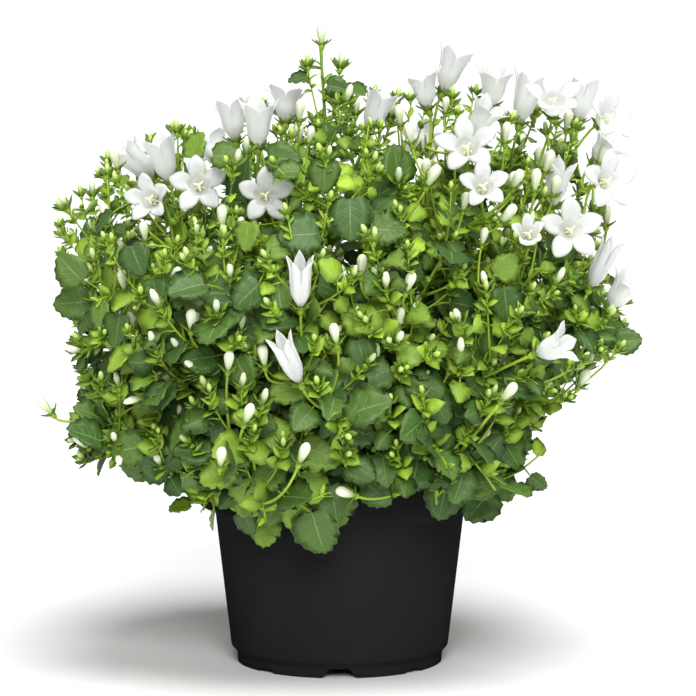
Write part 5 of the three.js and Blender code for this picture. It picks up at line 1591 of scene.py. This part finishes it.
def on_line(group, distance, width, core):
    """A mask that is 1 on a line, up to a share of its width away from it, and 0 from its width on."""
    return one_less(group, ramp(group, math(group, "DIVIDE", distance, width), core, 1.0))


def vein_group():
    """Veins on a blade or petal: a rib along its middle, and side veins where the way along, less a slant
    times the way across, passes halfway between whole numbers. A mask is 1 on a vein."""
    group, taken, given = new_group(
        "veins",
        [("Along", VALUE, 0.0), ("Across", VALUE, 0.0), ("Count", VALUE, 7.0), ("Slant", VALUE, 1.0),
         ("Rib Width", VALUE, 0.06), ("Vein Width", VALUE, 0.12)],
        [("Rib", VALUE), ("Veins", VALUE)])
    away = math(group, "ABSOLUTE", taken["Across"])
    way, slant = times(group, taken["Along"], taken["Count"]), times(group, away, taken["Slant"])
    phase = math(group, "FRACT", math(group, "SUBTRACT", way, slant))
    off = math(group, "ABSOLUTE", math(group, "SUBTRACT", phase, 0.5))
    fade = one_less(group, times(group, away, 0.75))
    group.links.new(on_line(group, away, taken["Rib Width"], 0.3), given["Rib"])
    group.links.new(times(group, on_line(group, off, taken["Vein Width"], 0.2), fade), given["Veins"])
    return group


def veined(tree, group, along, across, count, slant, rib_width, vein_width):
    """The masks of a surface's rib and of its side veins."""
    made = node(tree, "Group", {"Along": along, "Across": across, "Count": count, "Slant": slant,
                                "Rib Width": rib_width, "Vein Width": vein_width}, node_tree=group)
    return made.outputs["Rib"], made.outputs["Veins"]


def new_material(name, **sockets):
    """A material and its nodes. Its Principled shader's named sockets get the given plain values."""
    material = bpy.data.materials.new(name)
    material.use_nodes = True
    inputs = material.node_tree.nodes["Principled BSDF"].inputs
    for title, value in sockets.items():
        inputs[title.replace("_", " ")].default_value = value
    return material, material.node_tree


def traits(tree):
    """The three growth values of a surface."""
    made = node(tree, "Attribute", attribute_name="growth")
    return node(tree, "SeparateColor", {"Color": made.outputs["Color"]}).outputs


def surface_place(tree):
    """The way along and across a blade, from its UV map."""
    made = node(tree, "UVMap", uv_map="surface")
    return node(tree, "SeparateXYZ", {"Vector": made.outputs["UV"]}).outputs


def finish(material, name, colour, grain, relief):
    """The material with its colour, its roughness, which is the least one plus a share of the grain, and
    its relief."""
    least, added, strength, depth = SURFACES[name][4:]
    tree = material.node_tree
    inputs = tree.nodes["Principled BSDF"].inputs
    tree.links.new(colour, inputs["Base Color"])
    tree.links.new(math(tree, "ADD", least, times(tree, grain, added)), inputs["Roughness"])
    bump = node(tree, "Bump", {"Height": relief, "Strength": strength, "Distance": depth})
    tree.links.new(bump.outputs["Normal"], inputs["Normal"])
    return material


def leaf_material(mottle, veins):
    """Leaf: lime when young and deep green when old, with pale ribs and veins, a thin pale edge and a paler
    underside."""
    material, tree = new_material("leaf", Specular_IOR_Level=0.42)
    age, luck, under = traits(tree)[:3]
    along, across = surface_place(tree)[:2]
    rib, lines = veined(tree, veins, along, across, 6.0, 1.7, 0.055, 0.12)
    edge = ramp(tree, math(tree, "ABSOLUTE", across), 0.93, 1.0)
    colour = blend(tree, ramp(tree, age, 0.0, 0.68), tone("young leaf"), tone("old leaf"))
    colour = tinted(tree, colour, luck, 0.32, "olive leaf")
    colour, grain = mottled(tree, "leaf", mottle, colour)
    colour = tinted(tree, colour, rib, 0.3, "leaf rib")
    colour = tinted(tree, colour, lines, 0.13, "leaf vein")
    colour = tinted(tree, colour, edge, 0.35, "leaf edge")
    colour = tinted(tree, colour, under, 0.55, "leaf underside")
    relief = math(tree, "SUBTRACT", times(tree, grain, 0.35), math(tree, "ADD", lines, rib))
    return finish(material, "leaf", colour, grain, relief)


def stem_material(mottle):
    """Stem, stalk and sepal: lime when young and olive when old, darker by luck and towards a sepal's tip."""
    material, tree = new_material("stem_green", Specular_IOR_Level=0.35)
    age, luck = traits(tree)[:2]
    along = surface_place(tree)[0]
    colour = blend(tree, ramp(tree, age, 0.0, 0.7), tone("young stem"), tone("old stem"))
    colour = tinted(tree, colour, luck, 0.5, "dark stem")
    tip = times(tree, ramp(tree, along, 0.0, 0.8), ramp(tree, age, 0.8, 0.95))
    colour = tinted(tree, colour, tip, 0.5, "sepal tip")
    colour, grain = mottled(tree, "stem_green", mottle, colour)
    return finish(material, "stem_green", colour, grain, grain)


def bud_material(mottle):
    """Bud: lime-green while small, cream and white when ripe, greener at its foot and between its ridges."""
    material, tree = new_material("bud", Specular_IOR_Level=0.3)
    ripe, way, ridge = traits(tree)[:3]
    colour = blend(tree, ramp(tree, ripe, 0.1, 0.8), tone("green bud"), tone("ripe bud"))
    green = blend(tree, ramp(tree, ripe, 0.3, 1.0), tone("foot of green bud"), tone("foot of ripe bud"))
    low = one_less(tree, ramp(tree, way, 0.0, 0.6))
    for mask, share in ((low, 0.8), (one_less(tree, ridge), 0.4)):
        colour = blend(tree, times(tree, mask, share), colour, green)
    colour, grain = mottled(tree, "bud", mottle, colour)
    return finish(material, "bud", colour, grain, grain)


def petal_material(mottle, veins):
    """Petal: clean white, with fine veins from its base to its edge, and a faint grey-green towards the base
    of the bell that is partly its own tint and partly painted shade.
    """
    material, tree = new_material("petal", Specular_IOR_Level=0.2, Subsurface_Weight=0.8,
                                  Subsurface_Scale=0.004, Subsurface_Radius=(1.0, 1.0, 0.95))
    way = traits(tree)[0]
    across = surface_place(tree)[1]
    rib, lines = veined(tree, veins, across, across, 7.0, 0.0, 0.1, 0.2)
    # Towards the bell's base the petal turns faintly grey-green: partly its own tint and partly painted shade
    # of the deep bell
    base_tint_and_painted_shade = one_less(tree, ramp(tree, way, 0.02, 0.3))
    colour = tinted(tree, tone("petal"), base_tint_and_painted_shade, 0.5, "base_tint_and_painted_shade")
    colour, grain = mottled(tree, "petal", mottle, colour)
    colour = tinted(tree, colour, math(tree, "MAXIMUM", rib, lines), 0.14, "petal vein")
    relief = math(tree, "SUBTRACT", grain, times(tree, lines, 0.8))
    return finish(material, "petal", colour, grain, relief)


def pistil_material(mottle):
    """Pistil: pale yellow, with the spent stamens a little duller."""
    material, tree = new_material("pistil", Specular_IOR_Level=0.3)
    age = traits(tree)[0]
    colour = blend(tree, ramp(tree, age, 0.1, 0.45), tone("stamen"), tone("style"))
    colour, grain = mottled(tree, "pistil", mottle, colour)
    return finish(material, "pistil", colour, grain, grain)


def plain_material(name, base, specular, mottle):
    """A surface of one tone, mottled: matt black moulded plastic with a trace of dust for the pot, or moist
    dark brown peat with paler fibres for the soil."""
    material, tree = new_material(name, Specular_IOR_Level=specular)
    colour, grain = mottled(tree, name, mottle, tone(base))
    return finish(material, name, colour, grain, grain)


# The stage

# Each lamp: its direction from the plant, how wide it shines in degrees, and its strength
LAMPS = [("top", (0.15, -0.3, 1.0), 34, 2.7), ("key", (0.05, -1.0, 0.6), 26, 2.2)]
VIEW = Sizes(distance=1800, elevation=7.0, width=296.15, centre=(3.57, 0, 134.2), sensor=36)
# The floor's reach and tone, the sky's strength, and how far off lamps stand and the camera sees, in metres
STAGE = Sizes(floor=30, pale=(0.93, 0.93, 0.93, 1), sky=0.25, lamps=1.5, sight=100)


def put(name, data):
    """A new object in the scene."""
    made = bpy.data.objects.new(name, data)
    bpy.context.scene.collection.objects.link(made)
    return made


def make_stage():
    """A pale floor, a pale sky, soft lamps and the camera at the photograph's angle."""
    reach = STAGE.floor
    corners = [(-reach, -reach, 0), (reach, -reach, 0), (reach, reach, 0), (-reach, reach, 0)]
    floor_mesh = bpy.data.meshes.new("floor")
    floor_mesh.from_pydata(corners, [], [(0, 1, 2, 3)])
    floor_mesh.materials.append(new_material("floor_pale", Base_Color=STAGE.pale, Roughness=0.9)[0])
    put("floor", floor_mesh)

    world = bpy.data.worlds.new("studio")
    world.use_nodes = True
    sky = world.node_tree.nodes["Background"].inputs
    sky["Color"].default_value = (1, 1, 1, 1)
    sky["Strength"].default_value = STAGE.sky
    bpy.context.scene.world = world

    for name, away, angle, power in LAMPS:
        lamp = bpy.data.lights.new(name, "SUN")
        lamp.angle = np.radians(angle)
        lamp.energy = power
        holder = put(name, lamp)
        holder.location = (np.array(away) * STAGE.lamps).tolist()
        holder.rotation_euler = aim_rotation(np.array(away))

    camera = put("camera", bpy.data.cameras.new("camera"))
    tilt = np.radians(VIEW.elevation)
    away = np.array([0, -np.cos(tilt), np.sin(tilt)])
    camera.location = ((np.array(VIEW.centre) + away * VIEW.distance) * MM).tolist()
    camera.rotation_euler = (np.pi / 2 - tilt, 0, 0)
    camera.data.sensor_width = VIEW.sensor
    camera.data.lens = VIEW.sensor * VIEW.distance / VIEW.width
    camera.data.clip_end = STAGE.sight
    bpy.context.scene.camera = camera
    bpy.context.scene.view_settings.view_transform = "Standard"


def aim_rotation(away):
    """The turn that points a lamp's -Z at the plant: first down from the zenith, then round."""
    flat = np.hypot(away[0], away[1])
    return (np.arctan2(flat, away[2]), 0, np.arctan2(away[0], -away[1]))


# Making it all


def main():
    """Grows the plant, makes every piece and sets the stage."""
    stems = grow_skeleton()
    middles = grow_large_leaves(stems)
    soften_stalks(stems)
    grow_twigs(stems)
    grow_plain_buds(stems)
    grow_plain_leaves(stems, middles)
    grow_fine_leaves(stems, middles)
    grow_bracts(stems)
    grow_small_buds(stems)
    mottle, veins = mottle_group(), vein_group()
    greens = [stem_material(mottle), leaf_material(mottle, veins), bud_material(mottle)]
    for number, stem in enumerate(stems, 1):
        make_leafy_stem(number, stem, greens)
    whites = [petal_material(mottle, veins), pistil_material(mottle)]
    for number, flower in enumerate(FLOWERS, 1):
        make_flower(number, *flower, whites)
    make_pot(plain_material("pot_plastic", "plastic", 0.0, mottle))
    make_soil(plain_material("soil_peat", "peat", 0.2, mottle))
    make_stage()


main()
